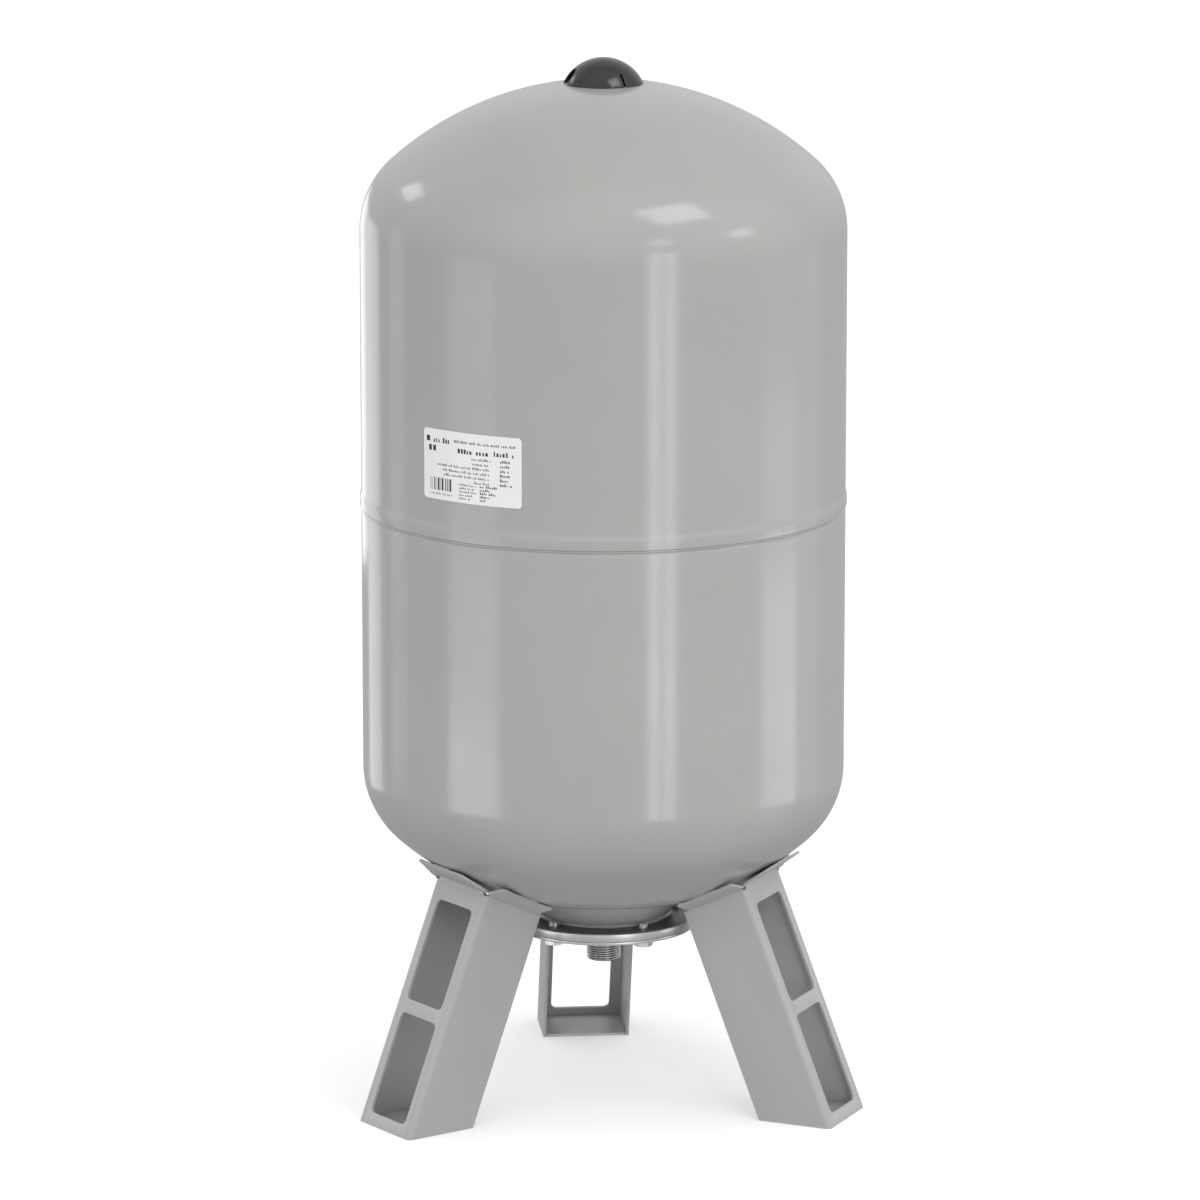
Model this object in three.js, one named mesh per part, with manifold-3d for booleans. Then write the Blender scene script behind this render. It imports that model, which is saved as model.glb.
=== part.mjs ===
// Floor-standing expansion vessel with a replaceable bladder.
// Millimetres, +Z up. The origin is on the floor, under the centre of the whole object's box.
// The rear leg points to +Y. An azimuth is measured round the vessel's axis from -Y towards +X.

import * as THREE from 'three';
import { mergeVertices } from 'three/addons/utils/BufferGeometryUtils.js';
import Module from 'manifold-3d';

const wasm = await Module();
wasm.setup();

// ---------------------------------------------------------------- driving dimensions

// Pressed shells
const SHELL_RADIUS = 186;
const WALL = 1.5;
const CROWN_RADIUS = 244.7;
const KNUCKLE_RADIUS = 68.8;
const LOWER_TANGENT_Z = 261.8;
const UPPER_TANGENT_Z = 679.7;
const SHELL_SIDES = 48;
const SMALL_SIDES = 24;
const ARC_STEP = 7;
const BOLT_SIDES = 12;

// Play between neighbouring parts, and how far a cutting tool or a joined piece runs past a face
const PART_GAP = 0.3;
const OVERRUN = 1;

// Girth seam: the upper shell's lip is flared over the lower shell's drawn-in edge
const LIP_BOTTOM_Z = 467.3;
const LIP_RADIUS = 186.9;
const LIP_STRAIGHT = 7.5;
const LIP_HEIGHT = 11.2;
const LIP_INSIDE_RAISE = 0.4;
const DRAW_IN_LOW = 4.3;
const DRAW_IN_HIGH = 0.8;
const TONGUE_RADIUS = 185;
const TONGUE_TOP_Z = 474;
const WELD_RADIUS = 187.3;
const WELD_HEIGHT = 3;
const WELD_GAP = 0.15;
const WELD_ROOT = 0.6;

// Drawn neck under the lower shell
const NECK_SEAT_RADIUS = 107;
const NECK_SEAT_DROP = 4;
const NECK_RADIUS = 58;
const NECK_FILLET = 11;
const NECK_MOUTH_RADIUS = 50.2;
const NECK_MOUTH_TAPER = 0.1;
const NECK_BOWL_CLEARANCE = 0.5;
const NECK_END_Z = 137.7;

// Bottom flange stack
const FLANGE_RADIUS = 72;
const FLANGE_TOP_Z = 142.4;
const FLANGE_THICKNESS = 6.7;
const FLANGE_BORE = 50.5;
const FLANGE_CHAMFER = 0.8;
const LIP_RECESS_RADIUS = 53.7;
const LIP_RECESS_DEPTH = 1.8;
const COVER_RADIUS = 71.4;
const COVER_THICKNESS = 2.3;
const COVER_SPIGOT_RADIUS = 39;
const COVER_SPIGOT_HEIGHT = 3.2;
const COVER_SPIGOT_CHAMFER = 1;
const FACE_GAP = 0.2;

// Flange bolts, M8
const BOLT_COUNT = 5;
const BOLT_CIRCLE_RADIUS = 58.5;
const BOLT_FIRST_AZIMUTH = -46;
const BOLT_SHANK_RADIUS = 3.9;
const BOLT_HOLE_RADIUS = 4.3;
const BOLT_HEAD_FLATS = 13;
const BOLT_HEAD_HEIGHT = 5.1;
const BOLT_STAND_OUT = 3.2;
const BOLT_TIP_CHAMFER = 0.8;

// Water connection, G 3/4 external thread
const NOZZLE_RADIUS = 13.22;
const NOZZLE_BORE = 9.8;
const NOZZLE_BOTTOM_Z = 104.8;
const NOZZLE_CHAMFER = 1.2;

// Bladder
const BLADDER_WALL = 2;
const BLADDER_NECK_RADIUS = 43;
const BLADDER_BODY_RADIUS = 118;
const BLADDER_LOW_Z = 300;
const BLADDER_HIGH_Z = 430;
const BLADDER_LIP_RADIUS = 53.3;
const BLADDER_LIP_THICKNESS = 1.5;
const BLADDER_LIP_GAP = 0.1;
const BLADDER_NECK_HEIGHT = 40;
const BLADDER_NECK_FLARE = { out: 1.5, up: 3 };
const BLADDER_LOW_ARC = 95;
const BLADDER_TOP_ARC = 60;
const BLADDER_ARC_ANGLE = 70;
const BLADDER_CROWN_RISE = 8;

// Charging valve
const BOSS_RADIUS = 9.5;
const BOSS_COLLAR_RADIUS = 12.8;
const BOSS_COLLAR_HEIGHT = 2;
const BOSS_DEPTH = 9;
const BOSS_BORE = 5.5;
const BOSS_CHAMFER = 0.6;
const STEM_RADIUS = 5.2;
const STEM_FLATS = 12;
const STEM_HEX_HEIGHT = 1.7;
const STEM_THREAD_RADIUS = 3.85;
const STEM_THREAD_HEIGHT = 4.6;
const STEM_BORE = 2.95;
const STEM_DEPTH = 14;
const STEM_CHAMFER = 0.5;
const CORE_RADIUS = 2.2;
const CORE_THREAD_RADIUS = 2.75;
const CORE_BORE = 1.75;
const CORE_LENGTH = 16.2;
const CORE_SHOULDER = 2.2;
const CORE_SETBACK = 1.2;
const CORE_THREAD_LENGTH = 3.6;
const CORE_THREAD_CHAMFER = 0.4;
const CORE_GUIDE_BORE = 1.1;
const CORE_SEAL_RISE = 4;
const CORE_SEAL_HEIGHT = 2;
const CORE_SEAL_GAP = 0.1;
const PIN_RADIUS = 0.8;
const PIN_COLLAR_RADIUS = 1.45;
const PIN_COLLAR_HEIGHT = 0.8;
const PIN_SEAT_RADIUS = 2;
const PIN_SEAT_HEIGHT = 2.2;
const PIN_SEAT_GAP = 0.15;
const PIN_SETBACK = 0.3;
const SPRING_RADIUS = 1.35;
const SPRING_WIRE_RADIUS = 0.16;
const SPRING_TURNS = 6;
const SPRING_LENGTH = 9;
const SPRING_STEPS_PER_TURN = 9;
const CAP_RADIUS = 4.9;
const CAP_BORE = 4.15;
const CAP_HEIGHT = 6.3;
const CAP_TOP = 0.9;
const CAP_SEAL_THICKNESS = 0.8;
const CAP_CHAMFER = 1;
const CAP_SEAL_GAP = 0.1;
const CAP_SEAL_PLAY = 0.2;
const CAP_GROOVES = 12;
const CAP_GROOVE_RADIUS = 0.4;
const CAP_GROOVE_TOP = 1.4;

// Dust cap
const DUST_CAP_RADIUS = 30.4;
const DUST_CAP_HEIGHT = 19.4;
const DUST_CAP_WALL = 1.9;
const DUST_CAP_SEAT_GAP = 0.35;
const HUB_BORE = 13.3;
const HUB_WALL = 1.6;
const HUB_LIFT = 0.6;
const OPENING_DEPTH = 20;
const SLOT_HEIGHT = 9.5;
const SLOT_WIDTH = 2.2;
const SLOT_AZIMUTHS = [27.6, 147.6];
const NOTCH_AZIMUTH = -80.9;
const NOTCH_WIDTH = 11.6;
const NOTCH_HEIGHT = 11.5;

// Folded-sheet legs
const LEG_AZIMUTHS = { leg_left: -60, leg_right: 60, leg_rear: 180 };
const LEG_SHEET = 2;
const LEG_WIDTH = 68.7;
const LEG_DEPTH = 55.3;
const LEG_BEND_RADIUS = 3.5;
const FOOT_REACH = 206.9;
const LEG_LEAN = 21.84;
const WEB_TOP = { radius: 133.8, z: 181.9 };
const TOP_CUT_SLOPE = 25.2;
const WINDOW_WIDTH = 47;
const WINDOW_CORNER = 4.5;
const WINDOWS = [{ from: 10, to: 90.6 }, { from: 101.4, to: 181.7 }];
const SOLE_GAP = 0.4;
const WEB_TAB = { slope: 36, crease: 183.7, root: 36, flare: 3, tip: 28, length: 25.5, raise: 0.5, lap: 2.5 };
const WEB_STRIP = { halfWidth: 30, from: 193.9, to: 198.7 };
const SIDE_TAB = { slope: 20, length: 22, middle: -26, raise: 0.7 };
const SIDE_TAB_EDGE = [[-51, -1.8], [-50, 23], [-36, 21.5], [-16, 22.5], [0, 25], [1.5, 3], [1.5, -1.8]];
const TONGUE_HALF_WIDTH = 10;
const RELIEF = { width: 5.2, height: 2.6, corner: 1.29, inset: 0.8, z: 183.2, depth: 9 };

// Label
const LABEL_WIDTH = 88;
const LABEL_HEIGHT = 53.4;
const LABEL_MIDDLE_Z = 524.2;
const LABEL_AZIMUTH = -38;
const LABEL_CORNER = 3;
const LABEL_THICKNESS = 0.25;
const LABEL_GAP = 0.1;

// The vessel's axis stands this far behind the centre of the object's box
const AXIS_Y = -(FOOT_REACH - WELD_RADIUS) / 2;

const rad = THREE.MathUtils.degToRad;

// ---------------------------------------------------------------- materials

const paint = () => finish(0xacb0aa, 0.35, 0.1);
const zinc = () => finish(0xc9cbcd, 0.35, 0.9);
const brass = () => finish(0xb99a52, 0.35, 0.9);
const rubber = () => finish(0x1c1c1e, 0.8, 0);

function finish(color, roughness, metalness) {
  return new THREE.MeshStandardMaterial({ color, roughness, metalness });
}

// ---------------------------------------------------------------- geometry helpers

function point(r, z) {
  return new THREE.Vector2(r, z);
}

/** Points on a circular arc. Angles are in degrees from +r, anticlockwise. */
function arc(r, z, radius, from, to, steps = Math.ceil(Math.abs(to - from) / ARC_STEP)) {
  return Array.from({ length: steps + 1 }, (_, i) => {
    const angle = rad(from + ((to - from) * i) / steps);
    return point(r + radius * Math.cos(angle), z + radius * Math.sin(angle));
  });
}

/** Solid of revolution round Z. The profile runs anticlockwise and is closed here if it is a ring. */
function turned(profile, sides) {
  const onAxis = profile[0].x === 0 && profile.at(-1).x === 0;
  const points = onAxis ? profile : [...profile, profile[0].clone()];
  return new THREE.LatheGeometry(points, sides).rotateX(Math.PI / 2);
}

/** Ring with a rectangular section. */
function ring(inner, outer, low, high, sides) {
  return turned([point(inner, low), point(outer, low), point(outer, high), point(inner, high)], sides);
}

/** Round bar standing on the XY plane's level low. */
function bar(radius, low, high, sides) {
  return turned([point(0, low), point(radius, low), point(radius, high), point(0, high)], sides);
}

/** Flat outline in XY, raised from low to high. */
function prism(outline, low, high) {
  const options = { depth: high - low, bevelEnabled: false };
  return new THREE.ExtrudeGeometry(new THREE.Shape(outline), options).translate(0, 0, low);
}

function hexagon(flats) {
  const corner = flats / Math.sqrt(3);
  return Array.from({ length: 6 }, (_, i) => {
    const angle = (i * Math.PI) / 3;
    return point(corner * Math.cos(angle), corner * Math.sin(angle));
  });
}

/** Rectangle with rounded corners, centred on the origin. */
function roundedRectangle(width, height, corner) {
  const x = width / 2 - corner;
  const y = height / 2 - corner;
  const centres = [[x, y, 0], [-x, y, 90], [-x, -y, 180], [x, -y, 270]];
  return centres.flatMap(([cx, cy, start]) => arc(cx, cy, corner, start, start + 90, 3));
}

function solid(geometry) {
  const bare = geometry.clone();
  bare.deleteAttribute('normal');
  bare.deleteAttribute('uv');
  const merged = mergeVertices(bare, 1e-4);
  return new wasm.Manifold(new wasm.Mesh({
    numProp: 3,
    vertProperties: merged.attributes.position.array,
    triVerts: new Uint32Array(merged.index.array),
  }));
}

function geometryOf(manifold) {
  const mesh = manifold.getMesh();
  const geometry = new THREE.BufferGeometry();
  geometry.setAttribute('position', new THREE.BufferAttribute(mesh.vertProperties, 3));
  geometry.setIndex(new THREE.BufferAttribute(mesh.triVerts, 1));
  geometry.computeVertexNormals();
  return geometry;
}

function cut(geometry, tools) {
  return geometryOf(tools.reduce((body, tool) => body.subtract(solid(tool)), solid(geometry)));
}

function mesh(name, geometry, material) {
  const part = new THREE.Mesh(geometry, material);
  part.name = name;
  return part;
}

/** Moves a shape drawn at azimuth 90 (radial direction +X) to the given azimuth. */
function turnTo(geometry, azimuth) {
  return geometry.rotateZ(rad(azimuth - 90));
}

// ---------------------------------------------------------------- shells

// Angle above the horizontal at which a knuckle runs into its crown
const HEAD_ANGLE = THREE.MathUtils.radToDeg(
  Math.acos((SHELL_RADIUS - KNUCKLE_RADIUS) / (CROWN_RADIUS - KNUCKLE_RADIUS)));
const CROWN_DROP = (CROWN_RADIUS - KNUCKLE_RADIUS) * Math.sin(rad(HEAD_ANGLE));
const SHELL_TOP_Z = UPPER_TANGENT_Z + CROWN_RADIUS - CROWN_DROP;

/** Half section of a pressed head, from its tangent line in to endRadius, heights from that line. */
function headOutline(inset, endRadius) {
  const crown = CROWN_RADIUS - inset;
  const end = THREE.MathUtils.radToDeg(Math.acos(endRadius / crown));
  const knuckle = arc(SHELL_RADIUS - KNUCKLE_RADIUS, 0, KNUCKLE_RADIUS - inset, 0, HEAD_ANGLE);
  return [...knuckle, ...arc(0, -CROWN_DROP, crown, HEAD_ANGLE, end).slice(1)];
}

/** Height of the upper head's outside at a radius inside the crown. */
function topHeight(radius) {
  return UPPER_TANGENT_Z - CROWN_DROP + Math.sqrt(CROWN_RADIUS ** 2 - radius ** 2);
}

function upperShell() {
  const raise = (p) => point(p.x, UPPER_TANGENT_Z + p.y);
  const hole = BOSS_RADIUS + PART_GAP;
  const outside = headOutline(0, hole).map(raise);
  const inside = headOutline(WALL, hole).map(raise).reverse();
  const lipTop = LIP_BOTTOM_Z + LIP_STRAIGHT;
  const bodyLow = LIP_BOTTOM_Z + LIP_HEIGHT;
  return turned([
    point(LIP_RADIUS, LIP_BOTTOM_Z),
    point(LIP_RADIUS, lipTop),
    point(SHELL_RADIUS, bodyLow),
    ...outside,
    ...inside,
    point(SHELL_RADIUS - WALL, bodyLow + LIP_INSIDE_RAISE),
    point(LIP_RADIUS - WALL, lipTop + LIP_INSIDE_RAISE),
    point(LIP_RADIUS - WALL, LIP_BOTTOM_Z),
  ], SHELL_SIDES);
}

/** Half section from the edge of the neck's seat, round a fillet and a bowl, to the neck's mouth. */
function neckOutline(inset) {
  const crownRise = Math.sqrt(CROWN_RADIUS ** 2 - NECK_SEAT_RADIUS ** 2);
  const seatZ = LOWER_TANGENT_Z + CROWN_DROP - crownRise;
  const wallTopZ = seatZ - NECK_SEAT_DROP - NECK_FILLET;
  const bowlHeight = wallTopZ - FLANGE_TOP_Z - NECK_BOWL_CLEARANCE;
  const bowlDraw = NECK_RADIUS - NECK_MOUTH_RADIUS - NECK_MOUTH_TAPER;
  const turn = 2 * Math.atan(bowlDraw / bowlHeight);
  const belly = bowlHeight / Math.sin(turn);
  const bowlEnd = -THREE.MathUtils.radToDeg(turn);
  const fillet = arc(NECK_RADIUS + NECK_FILLET, wallTopZ, NECK_FILLET + inset, 90, 180, 4);
  const bowl = arc(NECK_RADIUS - belly, wallTopZ, belly - inset, 0, bowlEnd, 3).slice(1);
  return [...fillet, ...bowl, point(NECK_MOUTH_RADIUS - inset, NECK_END_Z)];
}

function lowerShell() {
  const sink = (p) => point(p.x, LOWER_TANGENT_Z - p.y);
  const outside = headOutline(0, NECK_SEAT_RADIUS).map(sink).reverse();
  const inside = headOutline(WALL, NECK_SEAT_RADIUS).map(sink);
  const drawInLow = LIP_BOTTOM_Z - DRAW_IN_LOW;
  const drawInHigh = LIP_BOTTOM_Z - DRAW_IN_HIGH;
  return turned([
    ...neckOutline(0).reverse(),
    ...outside,
    point(SHELL_RADIUS, drawInLow),
    point(TONGUE_RADIUS, drawInHigh),
    point(TONGUE_RADIUS, TONGUE_TOP_Z),
    point(TONGUE_RADIUS - WALL, TONGUE_TOP_Z),
    point(TONGUE_RADIUS - WALL, drawInHigh),
    point(SHELL_RADIUS - WALL, drawInLow),
    ...inside,
    ...neckOutline(WALL),
  ], SHELL_SIDES);
}

function girthWeld() {
  const top = LIP_BOTTOM_Z - WELD_GAP;
  const low = top - WELD_HEIGHT;
  const root = TONGUE_RADIUS + WELD_ROOT;
  const foot = SHELL_RADIUS + WELD_GAP;
  return turned([
    point(root, top - WELD_ROOT),
    point(foot, low),
    point((foot + WELD_RADIUS) / 2, low + WELD_HEIGHT / 8),
    point(WELD_RADIUS, low + WELD_HEIGHT / 2),
    point((LIP_RADIUS + WELD_RADIUS) / 2, top),
    point(root, top),
  ], SHELL_SIDES);
}

// ---------------------------------------------------------------- bottom flange

const FLANGE_LOW_Z = FLANGE_TOP_Z - FLANGE_THICKNESS;
const COVER_TOP_Z = FLANGE_LOW_Z - FACE_GAP;
const COVER_LOW_Z = COVER_TOP_Z - COVER_THICKNESS;

function boltHoles(low, high) {
  return boltAzimuths().map((azimuth) => {
    const hole = bar(BOLT_HOLE_RADIUS, low - OVERRUN, high + OVERRUN, BOLT_SIDES);
    return turnTo(hole.translate(BOLT_CIRCLE_RADIUS, 0, 0), azimuth);
  });
}

function boltAzimuths() {
  return Array.from({ length: BOLT_COUNT }, (_, i) => BOLT_FIRST_AZIMUTH + (i * 360) / BOLT_COUNT);
}

function neckFlange() {
  const recessTop = FLANGE_LOW_Z + LIP_RECESS_DEPTH;
  const body = turned([
    point(FLANGE_BORE, recessTop),
    point(LIP_RECESS_RADIUS, recessTop),
    point(LIP_RECESS_RADIUS, FLANGE_LOW_Z),
    point(FLANGE_RADIUS, FLANGE_LOW_Z),
    point(FLANGE_RADIUS, FLANGE_TOP_Z - FLANGE_CHAMFER),
    point(FLANGE_RADIUS - FLANGE_CHAMFER, FLANGE_TOP_Z),
    point(FLANGE_BORE, FLANGE_TOP_Z),
  ], SHELL_SIDES);
  return cut(body, boltHoles(FLANGE_LOW_Z, FLANGE_TOP_Z));
}

function coverFlange() {
  const bore = NOZZLE_RADIUS + PART_GAP;
  const spigotTop = COVER_TOP_Z + COVER_SPIGOT_HEIGHT;
  const body = turned([
    point(bore, COVER_LOW_Z),
    point(COVER_RADIUS, COVER_LOW_Z),
    point(COVER_RADIUS, COVER_TOP_Z),
    point(COVER_SPIGOT_RADIUS, COVER_TOP_Z),
    point(COVER_SPIGOT_RADIUS - COVER_SPIGOT_CHAMFER, spigotTop),
    point(bore, spigotTop),
  ], SHELL_SIDES);
  return cut(body, boltHoles(COVER_LOW_Z, COVER_TOP_Z));
}

function waterNozzle() {
  return turned([
    point(NOZZLE_BORE, NOZZLE_BOTTOM_Z),
    point(NOZZLE_RADIUS - NOZZLE_CHAMFER, NOZZLE_BOTTOM_Z),
    point(NOZZLE_RADIUS, NOZZLE_BOTTOM_Z + NOZZLE_CHAMFER),
    point(NOZZLE_RADIUS, COVER_TOP_Z),
    point(NOZZLE_BORE, COVER_TOP_Z),
  ], SMALL_SIDES);
}

function flangeBolt(azimuth) {
  const seat = COVER_LOW_Z - FACE_GAP;
  const tip = FLANGE_TOP_Z + BOLT_STAND_OUT;
  const head = solid(prism(hexagon(BOLT_HEAD_FLATS), seat - BOLT_HEAD_HEIGHT, seat));
  const shank = turned([
    point(0, seat - OVERRUN),
    point(BOLT_SHANK_RADIUS, seat - OVERRUN),
    point(BOLT_SHANK_RADIUS, tip - BOLT_TIP_CHAMFER),
    point(BOLT_SHANK_RADIUS - BOLT_TIP_CHAMFER, tip),
    point(0, tip),
  ], BOLT_SIDES);
  const bolt = geometryOf(head.add(solid(shank)));
  return turnTo(bolt.translate(BOLT_CIRCLE_RADIUS, 0, 0), azimuth);
}

// ---------------------------------------------------------------- bladder

/** Outside of the bag above its neck. The inside has the same arcs, drawn in by the wall. */
function bagOutline(inset) {
  const corner = (radius, z, from, to) =>
    arc(BLADDER_BODY_RADIUS - radius, z, radius - inset, from, to, 5);
  const low = corner(BLADDER_LOW_ARC, BLADDER_LOW_Z, -BLADDER_ARC_ANGLE, 0);
  const top = corner(BLADDER_TOP_ARC, BLADDER_HIGH_Z, 0, BLADDER_ARC_ANGLE);
  const crownZ = BLADDER_HIGH_Z + BLADDER_TOP_ARC + BLADDER_CROWN_RISE - inset;
  return [...low, ...top, point(0, crownZ)];
}

function bladder() {
  const lipLow = FLANGE_LOW_Z + BLADDER_LIP_GAP;
  const lipTop = lipLow + BLADDER_LIP_THICKNESS;
  const neckTop = lipTop + BLADDER_NECK_HEIGHT;
  const inner = BLADDER_NECK_RADIUS - BLADDER_WALL;
  return turned([
    ...bagOutline(BLADDER_WALL).reverse(),
    point(inner, neckTop),
    point(inner, lipLow),
    point(BLADDER_LIP_RADIUS, lipLow),
    point(BLADDER_LIP_RADIUS, lipTop),
    point(BLADDER_NECK_RADIUS + BLADDER_NECK_FLARE.out, lipTop),
    point(BLADDER_NECK_RADIUS, lipTop + BLADDER_NECK_FLARE.up),
    point(BLADDER_NECK_RADIUS, neckTop),
    ...bagOutline(0),
  ], SMALL_SIDES);
}

// ---------------------------------------------------------------- charging valve

const COLLAR_LOW_Z = SHELL_TOP_Z + PART_GAP;
const COLLAR_TOP_Z = COLLAR_LOW_Z + BOSS_COLLAR_HEIGHT;
const HEX_LOW_Z = COLLAR_TOP_Z + PART_GAP;
const HEX_TOP_Z = HEX_LOW_Z + STEM_HEX_HEIGHT;
const STEM_TOP_Z = HEX_TOP_Z + STEM_THREAD_HEIGHT;
const CORE_TOP_Z = STEM_TOP_Z - CORE_SETBACK;
const CORE_LOW_Z = CORE_TOP_Z - CORE_LENGTH;
const SPRING_LOW_Z = CORE_LOW_Z + CORE_SHOULDER + PART_GAP;
const SPRING_TOP_Z = SPRING_LOW_Z + SPRING_LENGTH;

function valveBoss() {
  return turned([
    point(BOSS_BORE, SHELL_TOP_Z - BOSS_DEPTH),
    point(BOSS_RADIUS, SHELL_TOP_Z - BOSS_DEPTH),
    point(BOSS_RADIUS, COLLAR_LOW_Z),
    point(BOSS_COLLAR_RADIUS, COLLAR_LOW_Z),
    point(BOSS_COLLAR_RADIUS, COLLAR_TOP_Z - BOSS_CHAMFER),
    point(BOSS_COLLAR_RADIUS - BOSS_CHAMFER, COLLAR_TOP_Z),
    point(BOSS_BORE, COLLAR_TOP_Z),
  ], SMALL_SIDES);
}

function valveStem() {
  const low = SHELL_TOP_Z - STEM_DEPTH;
  const shaft = bar(STEM_RADIUS, low, HEX_LOW_Z + OVERRUN, SMALL_SIDES);
  const hex = prism(hexagon(STEM_FLATS), HEX_LOW_Z, HEX_TOP_Z);
  const thread = turned([
    point(0, HEX_TOP_Z - OVERRUN),
    point(STEM_THREAD_RADIUS, HEX_TOP_Z - OVERRUN),
    point(STEM_THREAD_RADIUS, STEM_TOP_Z - STEM_CHAMFER),
    point(STEM_THREAD_RADIUS - STEM_CHAMFER, STEM_TOP_Z),
    point(0, STEM_TOP_Z),
  ], SMALL_SIDES);
  const bore = bar(STEM_BORE, low - OVERRUN, STEM_TOP_Z + OVERRUN, SMALL_SIDES);
  const outside = solid(shaft).add(solid(hex)).add(solid(thread));
  return geometryOf(outside.subtract(solid(bore)));
}

function valveCoreBody() {
  const threadLow = CORE_TOP_Z - CORE_THREAD_LENGTH;
  return turned([
    point(CORE_GUIDE_BORE, CORE_LOW_Z),
    point(CORE_RADIUS, CORE_LOW_Z),
    point(CORE_RADIUS, threadLow),
    point(CORE_THREAD_RADIUS, threadLow + CORE_THREAD_CHAMFER),
    point(CORE_THREAD_RADIUS, CORE_TOP_Z),
    point(CORE_BORE, CORE_TOP_Z),
    point(CORE_BORE, CORE_LOW_Z + CORE_SHOULDER),
    point(CORE_GUIDE_BORE, CORE_LOW_Z + CORE_SHOULDER),
  ], BOLT_SIDES);
}

function valveCoreSeal() {
  const low = CORE_LOW_Z + CORE_SEAL_RISE;
  const high = low + CORE_SEAL_HEIGHT;
  return ring(CORE_RADIUS + CORE_SEAL_GAP, STEM_BORE - CORE_SEAL_GAP, low, high, SMALL_SIDES);
}

function valveCorePin() {
  const seatTop = CORE_LOW_Z - PIN_SEAT_GAP;
  const seatLow = seatTop - PIN_SEAT_HEIGHT;
  const collarLow = SPRING_TOP_Z + PART_GAP;
  const collarTop = collarLow + PIN_COLLAR_HEIGHT;
  const tip = STEM_TOP_Z - PIN_SETBACK;
  return turned([
    point(0, seatLow),
    point(PIN_SEAT_RADIUS, seatLow),
    point(PIN_SEAT_RADIUS, seatTop),
    point(PIN_RADIUS, seatTop),
    point(PIN_RADIUS, collarLow),
    point(PIN_COLLAR_RADIUS, collarLow),
    point(PIN_COLLAR_RADIUS, collarTop),
    point(PIN_RADIUS, collarTop),
    point(PIN_RADIUS, tip),
    point(0, tip),
  ], BOLT_SIDES);
}

/** Centre line of a round helix about Z. */
class Helix extends THREE.Curve {
  constructor(radius, low, high, turns) {
    super();
    Object.assign(this, { radius, low, high, turns });
  }

  getPoint(t, target = new THREE.Vector3()) {
    const angle = 2 * Math.PI * this.turns * t;
    const z = this.low + (this.high - this.low) * t;
    return target.set(this.radius * Math.cos(angle), this.radius * Math.sin(angle), z);
  }
}

function valveCoreSpring() {
  const wire = new THREE.Shape(arc(0, 0, SPRING_WIRE_RADIUS, 0, 300, 5));
  const low = SPRING_LOW_Z + SPRING_WIRE_RADIUS;
  const high = SPRING_TOP_Z - SPRING_WIRE_RADIUS;
  const extrudePath = new Helix(SPRING_RADIUS, low, high, SPRING_TURNS);
  const steps = SPRING_STEPS_PER_TURN * SPRING_TURNS;
  return new THREE.ExtrudeGeometry(wire, { steps, extrudePath });
}

const CAP_LOW_Z = HEX_TOP_Z + PART_GAP;
const CAP_HIGH_Z = CAP_LOW_Z + CAP_HEIGHT;

function valveCap() {
  const roof = CAP_HIGH_Z - CAP_TOP;
  const body = turned([
    point(CAP_BORE, CAP_LOW_Z),
    point(CAP_RADIUS, CAP_LOW_Z),
    point(CAP_RADIUS, CAP_HIGH_Z - CAP_CHAMFER),
    point(CAP_RADIUS - CAP_CHAMFER, CAP_HIGH_Z),
    point(0, CAP_HIGH_Z),
    point(0, roof),
    point(CAP_BORE, roof),
  ], SMALL_SIDES);
  const grooves = Array.from({ length: CAP_GROOVES }, (_, i) => {
    const groove = bar(CAP_GROOVE_RADIUS, CAP_LOW_Z - OVERRUN, CAP_HIGH_Z - CAP_GROOVE_TOP, 6);
    return groove.translate(CAP_RADIUS, 0, 0).rotateZ((2 * Math.PI * (i + 0.5)) / CAP_GROOVES);
  });
  return cut(body, grooves);
}

function valveCapSeal() {
  const top = CAP_HIGH_Z - CAP_TOP - CAP_SEAL_GAP;
  return bar(CAP_BORE - CAP_SEAL_PLAY, top - CAP_SEAL_THICKNESS, top, SMALL_SIDES);
}

// ---------------------------------------------------------------- dust cap

function dustCap() {
  const base = topHeight(DUST_CAP_RADIUS) + DUST_CAP_SEAT_GAP;
  const sphere = (DUST_CAP_RADIUS ** 2 + DUST_CAP_HEIGHT ** 2) / (2 * DUST_CAP_HEIGHT);
  const centre = base + DUST_CAP_HEIGHT - sphere;
  const inner = sphere - DUST_CAP_WALL;
  const degrees = (r, radius) => THREE.MathUtils.radToDeg(Math.acos(r / radius));
  const hubOut = HUB_BORE + HUB_WALL;
  const hubLow = topHeight(HUB_BORE) + HUB_LIFT;
  const baseIn = Math.sqrt(inner ** 2 - (base - centre) ** 2);
  const body = turned([
    ...arc(0, centre, sphere, degrees(DUST_CAP_RADIUS, sphere), 90, 7).slice(0, -1),
    point(0, base + DUST_CAP_HEIGHT),
    point(0, centre + inner),
    ...arc(0, centre, inner, 90, degrees(HUB_BORE, inner), 2).slice(1),
    point(HUB_BORE, hubLow),
    point(hubOut, hubLow),
    ...arc(0, centre, inner, degrees(hubOut, inner), degrees(baseIn, inner), 3),
  ], 32);
  const opening = (width, height, azimuth) => {
    const box = new THREE.BoxGeometry(OPENING_DEPTH, width, 2 * height);
    return turnTo(box.translate(hubOut + HUB_LIFT + OPENING_DEPTH / 2, 0, base), azimuth);
  };
  const slots = SLOT_AZIMUTHS.map((azimuth) => opening(SLOT_WIDTH, SLOT_HEIGHT, azimuth));
  return cut(body, [...slots, opening(NOTCH_WIDTH, NOTCH_HEIGHT, NOTCH_AZIMUTH)]);
}

// ---------------------------------------------------------------- legs

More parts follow.
